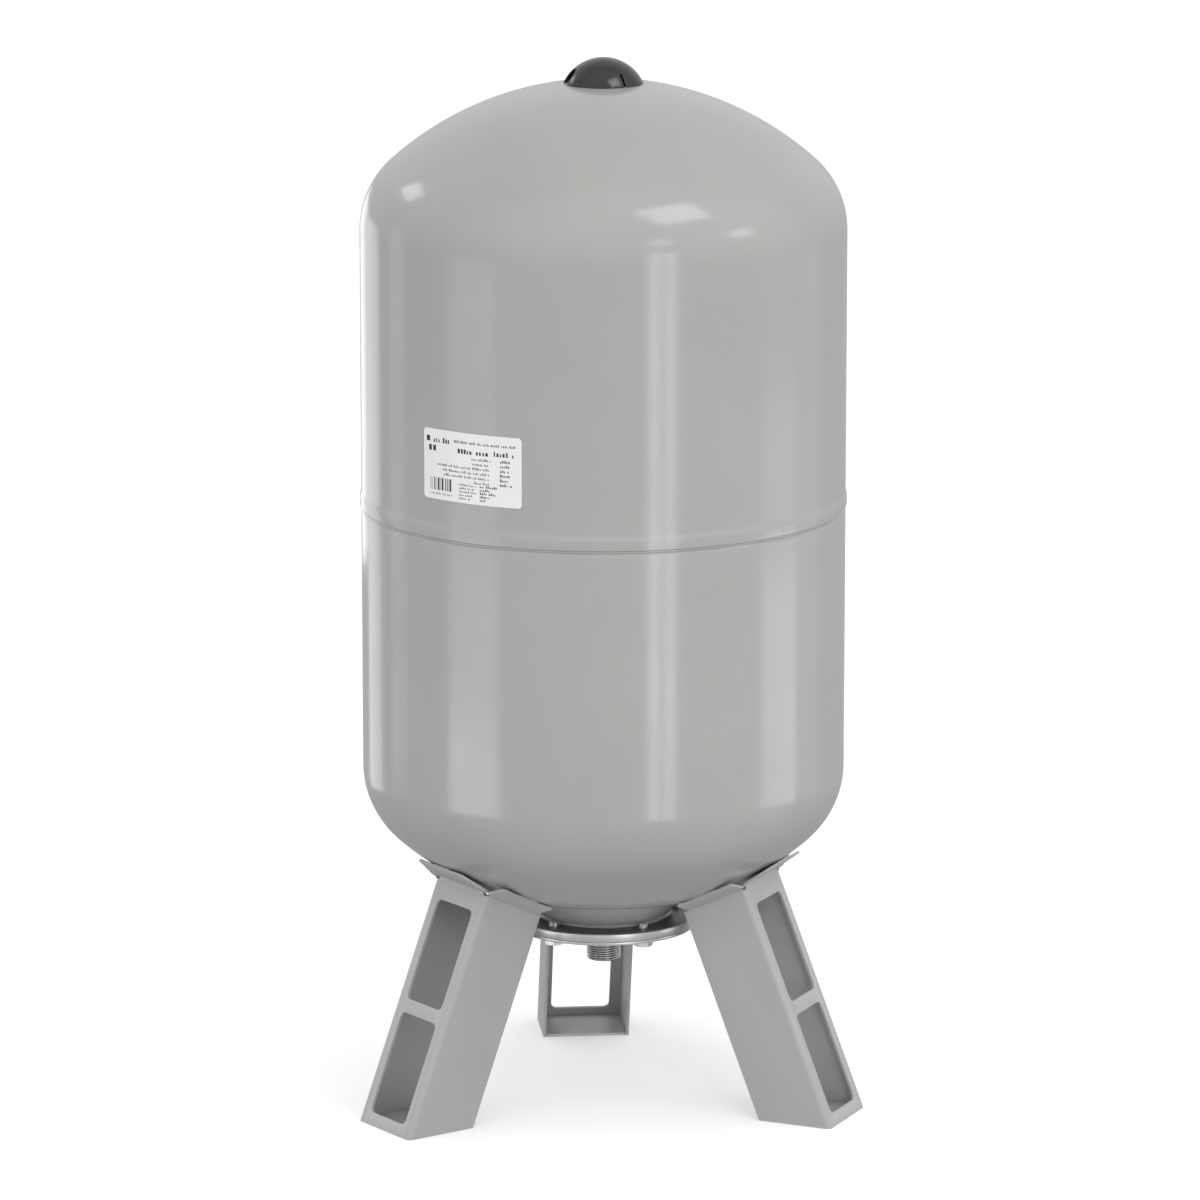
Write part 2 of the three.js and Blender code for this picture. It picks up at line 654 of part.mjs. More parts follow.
// Directions in the leg's own frame, where +X is radial and +Y runs across the leg
const OUTWARD = new THREE.Vector3(1, 0, 0);
const ACROSS = new THREE.Vector3(0, 1, 0);
const UP = new THREE.Vector3(0, 0, 1);
const UP_THE_LEG = new THREE.Vector3(-Math.sin(rad(LEG_LEAN)), 0, Math.cos(rad(LEG_LEAN)));
const OUT_OF_WEB = new THREE.Vector3(Math.cos(rad(LEG_LEAN)), 0, Math.sin(rad(LEG_LEAN)));
const ALONG_TOP = new THREE.Vector3(Math.cos(rad(TOP_CUT_SLOPE)), 0, Math.sin(rad(TOP_CUT_SLOPE)));

/** Height of the cut that trims the leg's top, at a distance from the axis. */
function topCutHeight(radius) {
  return WEB_TOP.z + (radius - WEB_TOP.radius) * Math.tan(rad(TOP_CUT_SLOPE));
}

/** Sheet-metal plate whose upper face holds the points origin + a * along + b * across. */
function plate(corners, origin, along, across, raise = 0) {
  const up = along.clone().cross(across).normalize();
  if (up.z < 0) up.negate();
  const down = up.clone().negate();
  const side = down.clone().cross(along);
  const outline = corners.map(([a, b]) => point(a + b * across.dot(along), b * across.dot(side)));
  const place = new THREE.Matrix4().makeBasis(along, side, down);
  place.setPosition(origin.clone().addScaledVector(up, raise));
  return solid(prism(outline, 0, LEG_SHEET).applyMatrix4(place));
}

/** The folded channel, trimmed at the floor and along the top cut. */
function channel() {
  const half = LEG_WIDTH / 2;
  const bend = LEG_BEND_RADIUS;
  const innerBend = bend - LEG_SHEET;
  const section = [
    point(half, -LEG_DEPTH),
    ...arc(half - bend, -bend, bend, 0, 90, 5),
    ...arc(bend - half, -bend, bend, 90, 180, 5),
    point(-half, -LEG_DEPTH),
    point(LEG_SHEET - half, -LEG_DEPTH),
    ...arc(bend - half, -bend, innerBend, 180, 90, 3),
    ...arc(half - bend, -bend, innerBend, 90, 0, 3),
    point(half - LEG_SHEET, -LEG_DEPTH),
  ];
  const place = new THREE.Matrix4().makeBasis(ACROSS.clone().negate(), OUT_OF_WEB, UP_THE_LEG);
  place.setPosition(FOOT_REACH, 0, 0);
  const folded = solid(prism(section, -LEG_DEPTH, 2 * WEB_TOP.z).applyMatrix4(place));
  const reach = FOOT_REACH + LEG_DEPTH;
  const side = [point(0, 0), point(reach, 0), point(reach, topCutHeight(reach)), point(0, topCutHeight(0))];
  return folded.intersect(solid(prism(side, -LEG_WIDTH, LEG_WIDTH).rotateX(Math.PI / 2)));
}

function windowTool({ from, to }) {
  const outline = roundedRectangle(WINDOW_WIDTH, to - from, WINDOW_CORNER);
  const place = new THREE.Matrix4().makeBasis(ACROSS, UP_THE_LEG, OUT_OF_WEB);
  const middle = UP_THE_LEG.clone().multiplyScalar((from + to) / 2);
  place.setPosition(middle.add(new THREE.Vector3(FOOT_REACH, 0, 0)));
  return solid(prism(outline, -LEG_BEND_RADIUS, OVERRUN).applyMatrix4(place));
}

/** Horizontal plate bent in from the web's lower edge. */
function sole() {
  const half = LEG_WIDTH / 2 - LEG_SHEET - SOLE_GAP;
  const inner = FOOT_REACH - LEG_DEPTH / Math.cos(rad(LEG_LEAN));
  const outer = FOOT_REACH - LEG_SHEET;
  const outline = [point(inner, -half), point(outer, -half), point(outer, half), point(inner, half)];
  return solid(prism(outline, 0, LEG_SHEET));
}

/** Tab bent outwards from the top of the web, its raised tongue, and the strip of web that carries it. */
function webTab() {
  const { slope, crease, root, flare, tip, length, raise, lap } = WEB_TAB;
  const out = new THREE.Vector3(Math.cos(rad(slope)), 0, Math.sin(rad(slope)));
  const radius = WEB_TOP.radius - (crease - WEB_TOP.z) * Math.tan(rad(LEG_LEAN));
  const origin = new THREE.Vector3(radius, 0, crease);
  const tongue = TONGUE_HALF_WIDTH;
  const right = [[root, -lap], [root, flare], [tip, length]];
  const left = right.map(([a, b]) => [-a, b]).reverse();
  const raised = [[-tongue, length / 3], [tongue, length / 3], [tongue, length], [-tongue, length]];
  const tab = plate([...right, ...left], origin, ACROSS, out, LEG_SHEET);
  return tab.add(plate(raised, origin, ACROSS, out, LEG_SHEET + raise)).add(webStrip());
}

function webStrip() {
  const { halfWidth, from, to } = WEB_STRIP;
  const outline = [point(-halfWidth, from), point(halfWidth, from), point(halfWidth, to), point(-halfWidth, to)];
  const place = new THREE.Matrix4().makeBasis(ACROSS, UP_THE_LEG, OUT_OF_WEB);
  place.setPosition(FOOT_REACH, 0, 0);
  return solid(prism(outline, -LEG_SHEET, 0).applyMatrix4(place));
}

/** Tab bent outwards from the top of one side wall, and its raised tongue. sign is +1 or -1. */
function sideTab(sign) {
  const { slope, length, middle, raise } = SIDE_TAB;
  const out = new THREE.Vector3(0, sign * Math.cos(rad(slope)), Math.sin(rad(slope)));
  const origin = new THREE.Vector3(WEB_TOP.radius, (sign * LEG_WIDTH) / 2, WEB_TOP.z);
  const near = middle + TONGUE_HALF_WIDTH;
  const far = middle - TONGUE_HALF_WIDTH;
  const raised = [[near, length / 3], [far, length / 3], [far, length], [near, length]];
  const tab = plate(SIDE_TAB_EDGE, origin, ALONG_TOP, out, LEG_SHEET);
  return tab.add(plate(raised, origin, ALONG_TOP, out, LEG_SHEET + raise));
}

/** Cutter for the relief hole where two tabs meet at a corner of the leg. sign is +1 or -1. */
function reliefTool(sign) {
  const { width, height, corner, inset, z, depth } = RELIEF;
  const bisector = new THREE.Vector3(1, sign, 0).normalize();
  const side = UP.clone().cross(bisector);
  const place = new THREE.Matrix4().makeBasis(side, UP, bisector);
  place.setPosition(WEB_TOP.radius - inset, sign * (LEG_WIDTH / 2 - inset), z);
  return solid(prism(roundedRectangle(width, height, corner), -depth, depth).applyMatrix4(place));
}

function leg(azimuth) {
  const pieces = [sole(), webTab(), sideTab(1), sideTab(-1)];
  const folded = pieces.reduce((body, piece) => body.add(piece), channel());
  const tools = [...WINDOWS.map(windowTool), reliefTool(1), reliefTool(-1)];
  const pierced = tools.reduce((body, tool) => body.subtract(tool), folded);
  return turnTo(geometryOf(pierced), azimuth);
}

// ---------------------------------------------------------------- label

/** Thin sheet wrapped round the shell: a band of the shell's shape, trimmed to a rounded outline. */
function ratingLabel() {
  const inner = SHELL_RADIUS + LABEL_GAP;
  const low = LABEL_MIDDLE_Z - LABEL_HEIGHT / 2 - OVERRUN;
  const high = LABEL_MIDDLE_Z + LABEL_HEIGHT / 2 + OVERRUN;
  const band = ring(inner, inner + LABEL_THICKNESS, low, high, 2 * SHELL_SIDES);
  const chord = 2 * SHELL_RADIUS * Math.sin(LABEL_WIDTH / (2 * SHELL_RADIUS));
  const outline = roundedRectangle(chord, LABEL_HEIGHT, LABEL_CORNER);
  const place = new THREE.Matrix4().makeBasis(ACROSS, UP, OUTWARD);
  place.setPosition(0, 0, LABEL_MIDDLE_Z);
  const trim = turnTo(prism(outline, 0, WELD_RADIUS).applyMatrix4(place), LABEL_AZIMUTH);
  return geometryOf(solid(band).intersect(solid(trim)));
}

// ---------------------------------------------------------------- assembly

const vessel = new THREE.Group();
vessel.position.set(0, AXIS_Y, 0);
vessel.add(
  mesh('upper_shell', upperShell(), paint()),
  mesh('lower_shell', lowerShell(), paint()),
  mesh('girth_weld', girthWeld(), paint()),
  mesh('neck_flange', neckFlange(), zinc()),
  mesh('cover_flange', coverFlange(), zinc()),
  mesh('water_nozzle', waterNozzle(), zinc()),
  mesh('bladder', bladder(), rubber()),
  mesh('valve_boss', valveBoss(), zinc()),
  mesh('valve_stem', valveStem(), brass()),
  mesh('valve_core_body', valveCoreBody(), brass()),
  mesh('valve_core_seal', valveCoreSeal(), rubber()),
  mesh('valve_core_pin', valveCorePin(), brass()),
  mesh('valve_core_spring', valveCoreSpring(), zinc()),
  mesh('valve_cap', valveCap(), finish(0x202022, 0.5, 0)),
  mesh('valve_cap_seal', valveCapSeal(), rubber()),
  mesh('dust_cap', dustCap(), finish(0x4a4a4c, 0.35, 0)),
  mesh('rating_label', ratingLabel(), finish(0xe9e9e7, 0.4, 0)),
);
boltAzimuths().forEach((azimuth, i) => {
  vessel.add(mesh(`flange_bolt_${i + 1}`, flangeBolt(azimuth), zinc()));
});
for (const [name, azimuth] of Object.entries(LEG_AZIMUTHS)) {
  vessel.add(mesh(name, leg(azimuth), paint()));
}

export default vessel;
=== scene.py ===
"""Looks of a floor-standing expansion vessel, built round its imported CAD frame.

Shapes are worked out in millimetres, with the vessel's axis at x = y = 0. make() turns them into the row
frame's metres. An azimuth runs round the axis from -Y towards +X and is in degrees.
"""

import math

import bmesh
import bpy
import numpy as np
from mathutils import Matrix, Vector


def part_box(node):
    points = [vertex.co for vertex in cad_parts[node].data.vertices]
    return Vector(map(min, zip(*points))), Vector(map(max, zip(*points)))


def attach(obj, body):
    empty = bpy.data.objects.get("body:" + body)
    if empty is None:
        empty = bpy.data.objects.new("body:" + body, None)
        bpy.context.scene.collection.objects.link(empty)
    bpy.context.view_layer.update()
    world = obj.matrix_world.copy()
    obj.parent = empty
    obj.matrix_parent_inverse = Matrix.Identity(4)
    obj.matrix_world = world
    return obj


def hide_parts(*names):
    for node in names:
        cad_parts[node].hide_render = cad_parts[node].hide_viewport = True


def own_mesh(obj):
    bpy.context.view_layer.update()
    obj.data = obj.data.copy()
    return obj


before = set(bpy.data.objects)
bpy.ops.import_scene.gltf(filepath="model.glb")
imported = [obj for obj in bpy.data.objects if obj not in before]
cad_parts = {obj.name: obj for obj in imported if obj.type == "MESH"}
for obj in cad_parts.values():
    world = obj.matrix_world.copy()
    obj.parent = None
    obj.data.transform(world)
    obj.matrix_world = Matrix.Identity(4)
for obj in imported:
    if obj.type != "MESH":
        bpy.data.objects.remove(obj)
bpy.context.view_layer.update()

# ---------------------------------------------------------------- places, from the frame

MM = 0.001
low_corner, high_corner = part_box("lower_shell")
AXIS = Vector(((low_corner.x + high_corner.x) / 2, (low_corner.y + high_corner.y) / 2, 0))


def span(node):
    """Lowest height, highest height and half width of a node, in millimetres."""
    low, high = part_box(node)
    return low.z / MM, high.z / MM, (high.x - low.x) / 2 / MM


def node_points(node):
    """A node's vertices in millimetres from the vessel's axis."""
    points = np.array([v.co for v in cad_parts[node].data.vertices], float)
    return (points - np.array(AXIS)) / MM


LIP_LOW, SHELL_TOP, LIP_RADIUS = span("upper_shell")
NECK_END, TONGUE_TOP, SHELL_RADIUS = span("lower_shell")
WELD_LOW, WELD_TOP, _ = span("girth_weld")
FLANGE_LOW, FLANGE_TOP, FLANGE_RADIUS = span("neck_flange")
COVER_LOW, SPIGOT_TOP, COVER_RADIUS = span("cover_flange")
NOZZLE_LOW, NOZZLE_TOP, NOZZLE_RADIUS = span("water_nozzle")
BOSS_LOW, BOSS_TOP, COLLAR_RADIUS = span("valve_boss")
STEM_LOW, STEM_TOP, _ = span("valve_stem")
CORE_LOW, CORE_TOP, CORE_RADIUS = span("valve_core_body")
PIN_LOW, PIN_TOP, PIN_SEAT_RADIUS = span("valve_core_pin")
SPRING_LOW, SPRING_TOP, SPRING_OUT = span("valve_core_spring")
CAP_LOW, CAP_TOP, CAP_RADIUS = span("valve_cap")
DUST_LOW, DUST_TOP, DUST_RADIUS = span("dust_cap")
LABEL_LOW, LABEL_HIGH, _ = span("rating_label")

WALL = 1.5
CROWN = 244.7
KNUCKLE = 68.8
COVER_TOP = FLANGE_LOW - 0.2
HEX_LOW = BOSS_TOP + 0.3
HEX_TOP = HEX_LOW + 1.7

# ---------------------------------------------------------------- outlines


def arc(r, z, radius, start, end, steps):
    """Points (r, z) on an arc, angles in degrees from +r."""
    angles = np.radians(np.linspace(start, end, steps + 1))
    return [(r + radius * math.cos(a), z + radius * math.sin(a)) for a in angles]


def rounded(corners, steps=4):
    """Closed outline. A corner is (r, z), or (r, z, size) to be rounded off."""
    out = []
    for i, corner in enumerate(corners):
        here = Vector(corner[:2])
        if len(corner) == 2:
            out.append(tuple(here))
            continue
        before = Vector(corners[i - 1][:2]) - here
        after = Vector(corners[(i + 1) % len(corners)][:2]) - here
        reach = min(corner[2], before.length * 0.49, after.length * 0.49)
        start, end = here + before.normalized() * reach, here + after.normalized() * reach
        for k in range(steps + 1):
            t = k / steps
            out.append(tuple(start.lerp(here, t).lerp(here.lerp(end, t), t)))
    return out


def rows(r, low, high, step):
    """Points up a cylinder, close enough for a thread to be cut into it."""
    count = max(2, round(abs(high - low) / step))
    return [(r, low + (high - low) * i / count) for i in range(count + 1)]


# ---------------------------------------------------------------- meshes


def lathe(outline, sides, shape=None):
    """Vertices and faces of a closed outline turned round Z. shape(r, z, angle) may alter the surface."""
    r, z = np.array(outline, float).T
    angle = (np.arange(sides) * 2 * math.pi / sides)[:, None]
    r, z = np.broadcast_to(r, (sides, len(r))).copy(), np.broadcast_to(z, (sides, len(z))).copy()
    if shape:
        r, z = shape(r, z, angle)
    points = np.stack([r * np.sin(angle), -r * np.cos(angle), z], -1).reshape(-1, 3)
    n = len(outline)
    faces = []
    for i in range(sides):
        a, b = i * n, (i + 1) % sides * n
        faces += [(a + j, a + (j + 1) % n, b + (j + 1) % n, b + j) for j in range(n)]
    return points, faces


def turned(points, azimuth, out=0.0):
    """Points moved out along X from the axis, then turned so that +X faces the azimuth."""
    a = math.radians(azimuth - 90)
    x, y = points[:, 0] + out, points[:, 1]
    return np.stack([x * math.cos(a) - y * math.sin(a), x * math.sin(a) + y * math.cos(a), points[:, 2]], -1)


def make(name, parts, sharp=32):
    """A mesh object in the row frame from one or more (points in mm, faces)."""
    mesh = bpy.data.meshes.new(name)
    points, faces = [], []
    for part_points, part_faces in parts:
        shift = len(points)
        points += [tuple(p) for p in np.asarray(part_points) * MM + np.array(AXIS)]
        faces += [tuple(i + shift for i in face) for face in part_faces]
    mesh.from_pydata(points, [], faces)
    bm = bmesh.new()
    bm.from_mesh(mesh)
    bmesh.ops.remove_doubles(bm, verts=bm.verts, dist=1e-7)
    bmesh.ops.dissolve_degenerate(bm, edges=bm.edges, dist=1e-8)
    bmesh.ops.recalc_face_normals(bm, faces=bm.faces)
    bm.to_mesh(mesh)
    bm.free()
    smooth(mesh, sharp)
    made = bpy.data.objects.new(name, mesh)
    bpy.context.scene.collection.objects.link(made)
    return made


def smooth(mesh, sharp):
    mesh.shade_smooth()
    mesh.set_sharp_from_angle(angle=math.radians(sharp))


def settle(piece, sharp=32):
    """Applies a piece's modifiers."""
    bpy.context.view_layer.update()
    shown = piece.evaluated_get(bpy.context.evaluated_depsgraph_get())
    mesh = bpy.data.meshes.new_from_object(shown)
    piece.modifiers.clear()
    piece.data = mesh
    smooth(mesh, sharp)
    return piece


def carve(piece, tools, operation="DIFFERENCE"):
    """Cuts (or joins) each tool object, and removes the tool."""
    for tool in tools:
        cut = piece.modifiers.new("cut", "BOOLEAN")
        cut.operation, cut.solver, cut.object = operation, "EXACT", tool
    settle(piece)
    for tool in tools:
        bpy.data.objects.remove(tool)
    return piece


def soften(piece, width, segments=2, angle=40):
    """Rounds a piece's edges off by a width in millimetres."""
    bm = bmesh.new()
    bm.from_mesh(piece.data)
    bmesh.ops.dissolve_limit(bm, angle_limit=math.radians(0.4), verts=bm.verts, edges=bm.edges)
    bm.to_mesh(piece.data)
    bm.free()
    bevel = piece.modifiers.new("soften", "BEVEL")
    bevel.width, bevel.segments = width * MM, segments
    bevel.limit_method, bevel.angle_limit = "ANGLE", math.radians(angle)
    bevel.harden_normals = False
    return settle(piece)


def finish(piece, material, slot, body, *nodes):
    """Gives a piece its material and its body, and hides the CAD nodes that it stands for."""
    piece.data.materials.clear()
    piece.data.materials.append(material)
    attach(piece, body)
    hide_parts(*nodes)
    return piece


# ---------------------------------------------------------------- materials


class Shader:
    """A material with one Principled shader, and short ways to add nodes to it."""

    def __init__(self, name, **values):
        self.material = bpy.data.materials.new(name)
        self.material.use_nodes = True
        self.tree = self.material.node_tree
        self.surface = self.tree.nodes["Principled BSDF"]
        for socket, value in values.items():
            self.surface.inputs[socket.replace("_", " ")].default_value = value
        place = self.add("ShaderNodeTexCoord").outputs["Object"]
        centred = self.vector("SUBTRACT", place, tuple(AXIS))
        self.mm = self.vector("MULTIPLY", centred, (1 / MM,) * 3)
        parts = self.add("ShaderNodeSeparateXYZ", Vector=self.mm)
        self.x, self.y, self.z = parts.outputs
        self.r = self.math("SQRT", self.math("ADD", self.math("MULTIPLY", self.x, self.x),
                                             self.math("MULTIPLY", self.y, self.y)))

    def add(self, kind, **values):
        node = self.tree.nodes.new(kind)
        for name, value in values.items():
            self.set(node.inputs[name.replace("_", " ")], value)
        return node

    def set(self, socket, value):
        if isinstance(value, bpy.types.NodeSocket):
            self.tree.links.new(value, socket)
        else:
            socket.default_value = value

    def math(self, operation, *values):
        node = self.tree.nodes.new("ShaderNodeMath")
        node.operation = operation
        for socket, value in zip(node.inputs, values):
            self.set(socket, value)
        return node.outputs[0]

    def vector(self, operation, *values):
        node = self.tree.nodes.new("ShaderNodeVectorMath")
        node.operation = operation
        for socket, value in zip(node.inputs, values):
            self.set(socket, value)
        return node.outputs[0]

    def noise(self, size, detail=2.0, stretch=(1, 1, 1), place=None, seed=(0, 0, 0)):
        """Noise whose blotches are about size millimetres across, drawn out by stretch."""
        scale = tuple(1 / (size * s) for s in stretch)
        at = self.vector("ADD", self.vector("MULTIPLY", place or self.mm, scale), seed)
        node = self.add("ShaderNodeTexNoise", Vector=at, Scale=1.0, Detail=detail)
        return node.outputs["Fac"]

    def grains(self, size):
        at = self.vector("MULTIPLY", self.mm, (1 / size,) * 3)
        return self.add("ShaderNodeTexVoronoi", Vector=at, Scale=1.0).outputs["Distance"]

    def remap(self, value, low, high, to_low, to_high):
        node = self.add("ShaderNodeMapRange", Value=value, From_Min=low, From_Max=high,
                        To_Min=to_low, To_Max=to_high)
        return node.outputs["Result"]

    def blend(self, factor, first, second):
        """Colour between two colours."""
        node = self.tree.nodes.new("ShaderNodeMix")
        node.data_type = "RGBA"
        self.set(node.inputs[0], factor)
        self.set(node.inputs[6], (*first, 1) if isinstance(first, tuple) else first)
        self.set(node.inputs[7], (*second, 1) if isinstance(second, tuple) else second)
        return node.outputs[2]

    def bump(self, height, depth, under=None):
        """Normal from a height of 0 to 1 that stands for depth millimetres."""
        values = {"Height": height, "Distance": depth * MM, "Strength": 1.0}
        if under:
            values["Normal"] = under
        return self.add("ShaderNodeBump", **values).outputs["Normal"]

    def done(self, **values):
        for name, value in values.items():
            self.set(self.surface.inputs[name.replace("_", " ")], value)
        return self.material


def enamel(name, tint, gloss, peel):
    """Stoved light grey enamel: faint orange peel, clouding, dust nibs and a few fine scuffs."""
    s = Shader(name, IOR=1.5)
    clouds = s.noise(70, 3)
    speck = s.noise(0.5, 1, seed=(9, 2, 5))
    nibs = s.remap(s.noise(2.2, 0, seed=(4, 4, 1)), 0.77, 0.83, 0, 1)
    scuffs = s.remap(s.noise(3, 2, stretch=(1, 1, 14), seed=(3, 8, 1)), 0.70, 0.78, 0, 1)
    darker = tuple(0.955 * c for c in tint)
    colour = s.blend(s.remap(clouds, 0.3, 0.7, 0, 1), tint, darker)
    colour = s.blend(s.remap(speck, 0.35, 0.75, 0, 0.2), colour, tuple(0.8 * c for c in tint))
    rough = s.math("ADD", s.remap(clouds, 0.3, 0.7, gloss - 0.02, gloss + 0.03),
                   s.remap(scuffs, 0, 1, 0, 0.07))
    rough = s.math("ADD", rough, s.remap(speck, 0.3, 0.7, -0.02, 0.02))
    skin = s.bump(s.noise(2.6, 2, seed=(1, 5, 7)), peel)
    skin = s.bump(nibs, 0.012, skin)
    return s.done(Base_Color=colour, Roughness=rough, Normal=skin)


# Near-black grey painted where shade falls on steel: on the flange faces inside their turned rim, and in
# thread roots.
PAINTED_SHADE_GREY = (0.15, 0.152, 0.155)


def turned_steel(name, tint, rough, groove, rim=None, root=None):
    """Zinc-plated steel with lathe marks: rings on its faces, lines round its rim.

    Inside the radius rim the faces get a painted shade, near black, and a thread gets the same painted shade
    at the radius root.
    """
    s = Shader(name, Metallic=1.0)
    marks = s.noise(1, 3, place=s.add("ShaderNodeCombineXYZ", X=s.math("MULTIPLY", s.r, 3.2),
                                      Y=s.math("MULTIPLY", s.z, 4.0), Z=0.0).outputs[0])
    bands = s.noise(1, 2, seed=(5, 1, 0),
                    place=s.add("ShaderNodeCombineXYZ", X=s.math("MULTIPLY", s.r, 0.7),
                                Y=s.math("MULTIPLY", s.z, 0.9), Z=0.0).outputs[0])
    bloom = s.noise(9, 4, seed=(2, 2, 2))
    grime = s.remap(s.noise(24, 3, seed=(7, 1, 3)), 0.45, 0.75, 0, 0.18)
    colour = s.blend(s.remap(bloom, 0.3, 0.7, 0, 1), tint, tuple(0.92 * c for c in tint))
    colour = s.blend(grime, colour, tuple(0.6 * c for c in tint))
    # Painted shade: faces inside the radius rim are darkened to near black.
    if rim:
        colour = s.blend(s.remap(s.r, rim - 0.15, rim + 0.1, 1, 0), colour, PAINTED_SHADE_GREY)
    # Painted shade in the thread's roots.
    if root:
        off = s.math("ABSOLUTE", s.math("SUBTRACT", s.r, root))
        colour = s.blend(s.remap(off, 0.25, 0.75, 1, 0), colour, PAINTED_SHADE_GREY)
    level = s.math("ADD", s.remap(marks, 0.3, 0.7, rough - 0.07, rough + 0.08),
                   s.remap(bloom, 0.3, 0.7, -0.02, 0.03))
    normal = s.bump(s.math("ADD", marks, bands), groove)
    return s.done(Base_Color=colour, Roughness=level, Normal=normal)


def bright_zinc(name, tint, rough):
    """Barrel-plated zinc with small dents and slight clouding."""
    s = Shader(name, Metallic=1.0)
    clouds, dents = s.noise(4, 3), s.noise(0.8, 2, seed=(3, 3, 3))
    colour = s.blend(s.remap(clouds, 0.35, 0.65, 0, 1), tint, tuple(0.85 * c for c in tint))
    level = s.remap(clouds, 0.3, 0.7, rough - 0.06, rough + 0.1)
    return s.done(Base_Color=colour, Roughness=level, Normal=s.bump(dents, 0.008))


def machined_brass(name):
    s = Shader(name, Metallic=1.0)
    marks = s.noise(0.3, 2, stretch=(4, 4, 0.5))
    tarnish = s.noise(3, 3, seed=(1, 1, 6))
    colour = s.blend(s.remap(tarnish, 0.4, 0.7, 0, 1), (0.72, 0.50, 0.20), (0.47, 0.31, 0.13))
    return s.done(Base_Color=colour, Roughness=s.remap(tarnish, 0.3, 0.7, 0.24, 0.42),
                  Normal=s.bump(marks, 0.012))


def moulded(name, tint, rough, grain, depth):
    """Moulded plastic or rubber with a finely pebbled skin."""
    s = Shader(name, IOR=1.5)
    flow, pebbles = s.noise(11, 2), s.grains(grain)
    fine = s.noise(grain * 0.6, 2)
    dust = s.remap(s.noise(5, 4, seed=(6, 2, 2)), 0.5, 0.8, 0, 0.3)
    lighter = tuple(min(1, 1.35 * c + 0.01) for c in tint)
    colour = s.blend(s.remap(flow, 0.3, 0.7, 0, 0.5), tint, lighter)
    colour = s.blend(dust, colour, tuple(min(1, 1.7 * c + 0.015) for c in tint))
    level = s.math("ADD", s.remap(pebbles, 0.1, 0.7, rough - 0.04, rough + 0.06),
                   s.math("MULTIPLY", dust, 0.2))
    normal = s.bump(fine, depth * 0.4, s.bump(pebbles, depth))
    return s.done(Base_Color=colour, Roughness=level, Normal=normal)


def film(name, tint, rough):
    """Printed or plain self-adhesive film, very slightly wavy."""
    s = Shader(name, IOR=1.46)
    wave, fibre = s.noise(14, 2), s.noise(0.7, 2, seed=(4, 1, 1))
    colour = s.blend(s.remap(s.noise(20, 3, seed=(5, 5, 5)), 0.35, 0.7, 0, 1), tint,
                     tuple(0.955 * c for c in tint))
    level = s.remap(fibre, 0.3, 0.7, rough - 0.04, rough + 0.05)
    return s.done(Base_Color=colour, Roughness=level, Normal=s.bump(fibre, 0.004, s.bump(wave, 0.05)))


GREY = (0.385, 0.394, 0.379)
shell_paint = enamel("shell_enamel", GREY, 0.15, 0.010)
leg_paint = enamel("leg_enamel", tuple(1.08 * c for c in GREY), 0.36, 0.014)
# The flange's and cover's faces inside the radius FLANGE_RADIUS - 0.9 get a painted shade; only the rim
# stays bright.
flange_steel = turned_steel("turned_flange_steel", (0.63, 0.635, 0.64), 0.34, 0.006, FLANGE_RADIUS - 0.9)
# The nozzle's thread roots get a painted shade, so the crests stand out.
nozzle_steel = turned_steel("cut_thread_steel", (0.92, 0.925, 0.93), 0.26, 0.002, root=NOZZLE_RADIUS - 1.2)
boss_steel = turned_steel("boss_steel", (0.50, 0.50, 0.51), 0.35, 0.012)
bolt_zinc = bright_zinc("bright_zinc", (0.86, 0.875, 0.89), 0.24)
spring_steel = bright_zinc("spring_wire", (0.45, 0.45, 0.46), 0.25)
valve_brass = machined_brass("valve_brass")
bladder_rubber = moulded("bladder_rubber", (0.012, 0.012, 0.013), 0.62, 1.4, 0.06)
seal_rubber = moulded("seal_rubber", (0.014, 0.014, 0.014), 0.55, 0.5, 0.02)
cap_plastic = moulded("valve_cap_plastic", (0.016, 0.016, 0.017), 0.42, 0.35, 0.015)
dust_plastic = moulded("dust_cap_plastic", (0.009, 0.0095, 0.0105), 0.13, 1.3, 0.035)
label_film = film("label_film", (0.81, 0.815, 0.81), 0.30)
label_ink = film("label_ink", (0.07, 0.072, 0.076), 0.42)
ink_dark = film("label_ink_dark", (0.02, 0.021, 0.023), 0.40)

# ---------------------------------------------------------------- shells

SHELL_SIDES = 240
HEAD_ANGLE = math.degrees(math.acos((SHELL_RADIUS - KNUCKLE) / (CROWN - KNUCKLE)))
CROWN_DROP = (CROWN - KNUCKLE) * math.sin(math.radians(HEAD_ANGLE))
VALVE_HOLE = 9.8
UPPER_TANGENT = SHELL_TOP + CROWN_DROP - math.sqrt(CROWN**2 - VALVE_HOLE**2)
LOWER_TANGENT = 261.8
NECK_SEAT = 107


def head(inset, end_radius):
    """Half section of a pressed head from its tangent line in, heights from that line."""
    crown = CROWN - inset
    end = math.degrees(math.acos(end_radius / crown))
    knuckle = arc(SHELL_RADIUS - KNUCKLE, 0, KNUCKLE - inset, 0, HEAD_ANGLE, 22)
    return knuckle + arc(0, -CROWN_DROP, crown, HEAD_ANGLE, end, 40)[1:]


def crown_height(radius):
    """Height of the upper head's outside near the middle."""
    return UPPER_TANGENT - CROWN_DROP + math.sqrt(CROWN**2 - radius**2)


def wave(steps):
    """Smooth step from 0 to 1."""
    return [(1 - math.cos(math.pi * i / steps)) / 2 for i in range(steps + 1)]


def joggle(inset):
    """The upper shell's flared lip, from its edge up to the plain wall."""
    high, low = LIP_LOW + 12.4, LIP_LOW + 6.6
    bend = [(LIP_RADIUS - inset - (LIP_RADIUS - SHELL_RADIUS) * w, low + (high - low) * i / 8)
            for i, w in enumerate(wave(8))]
    return bend


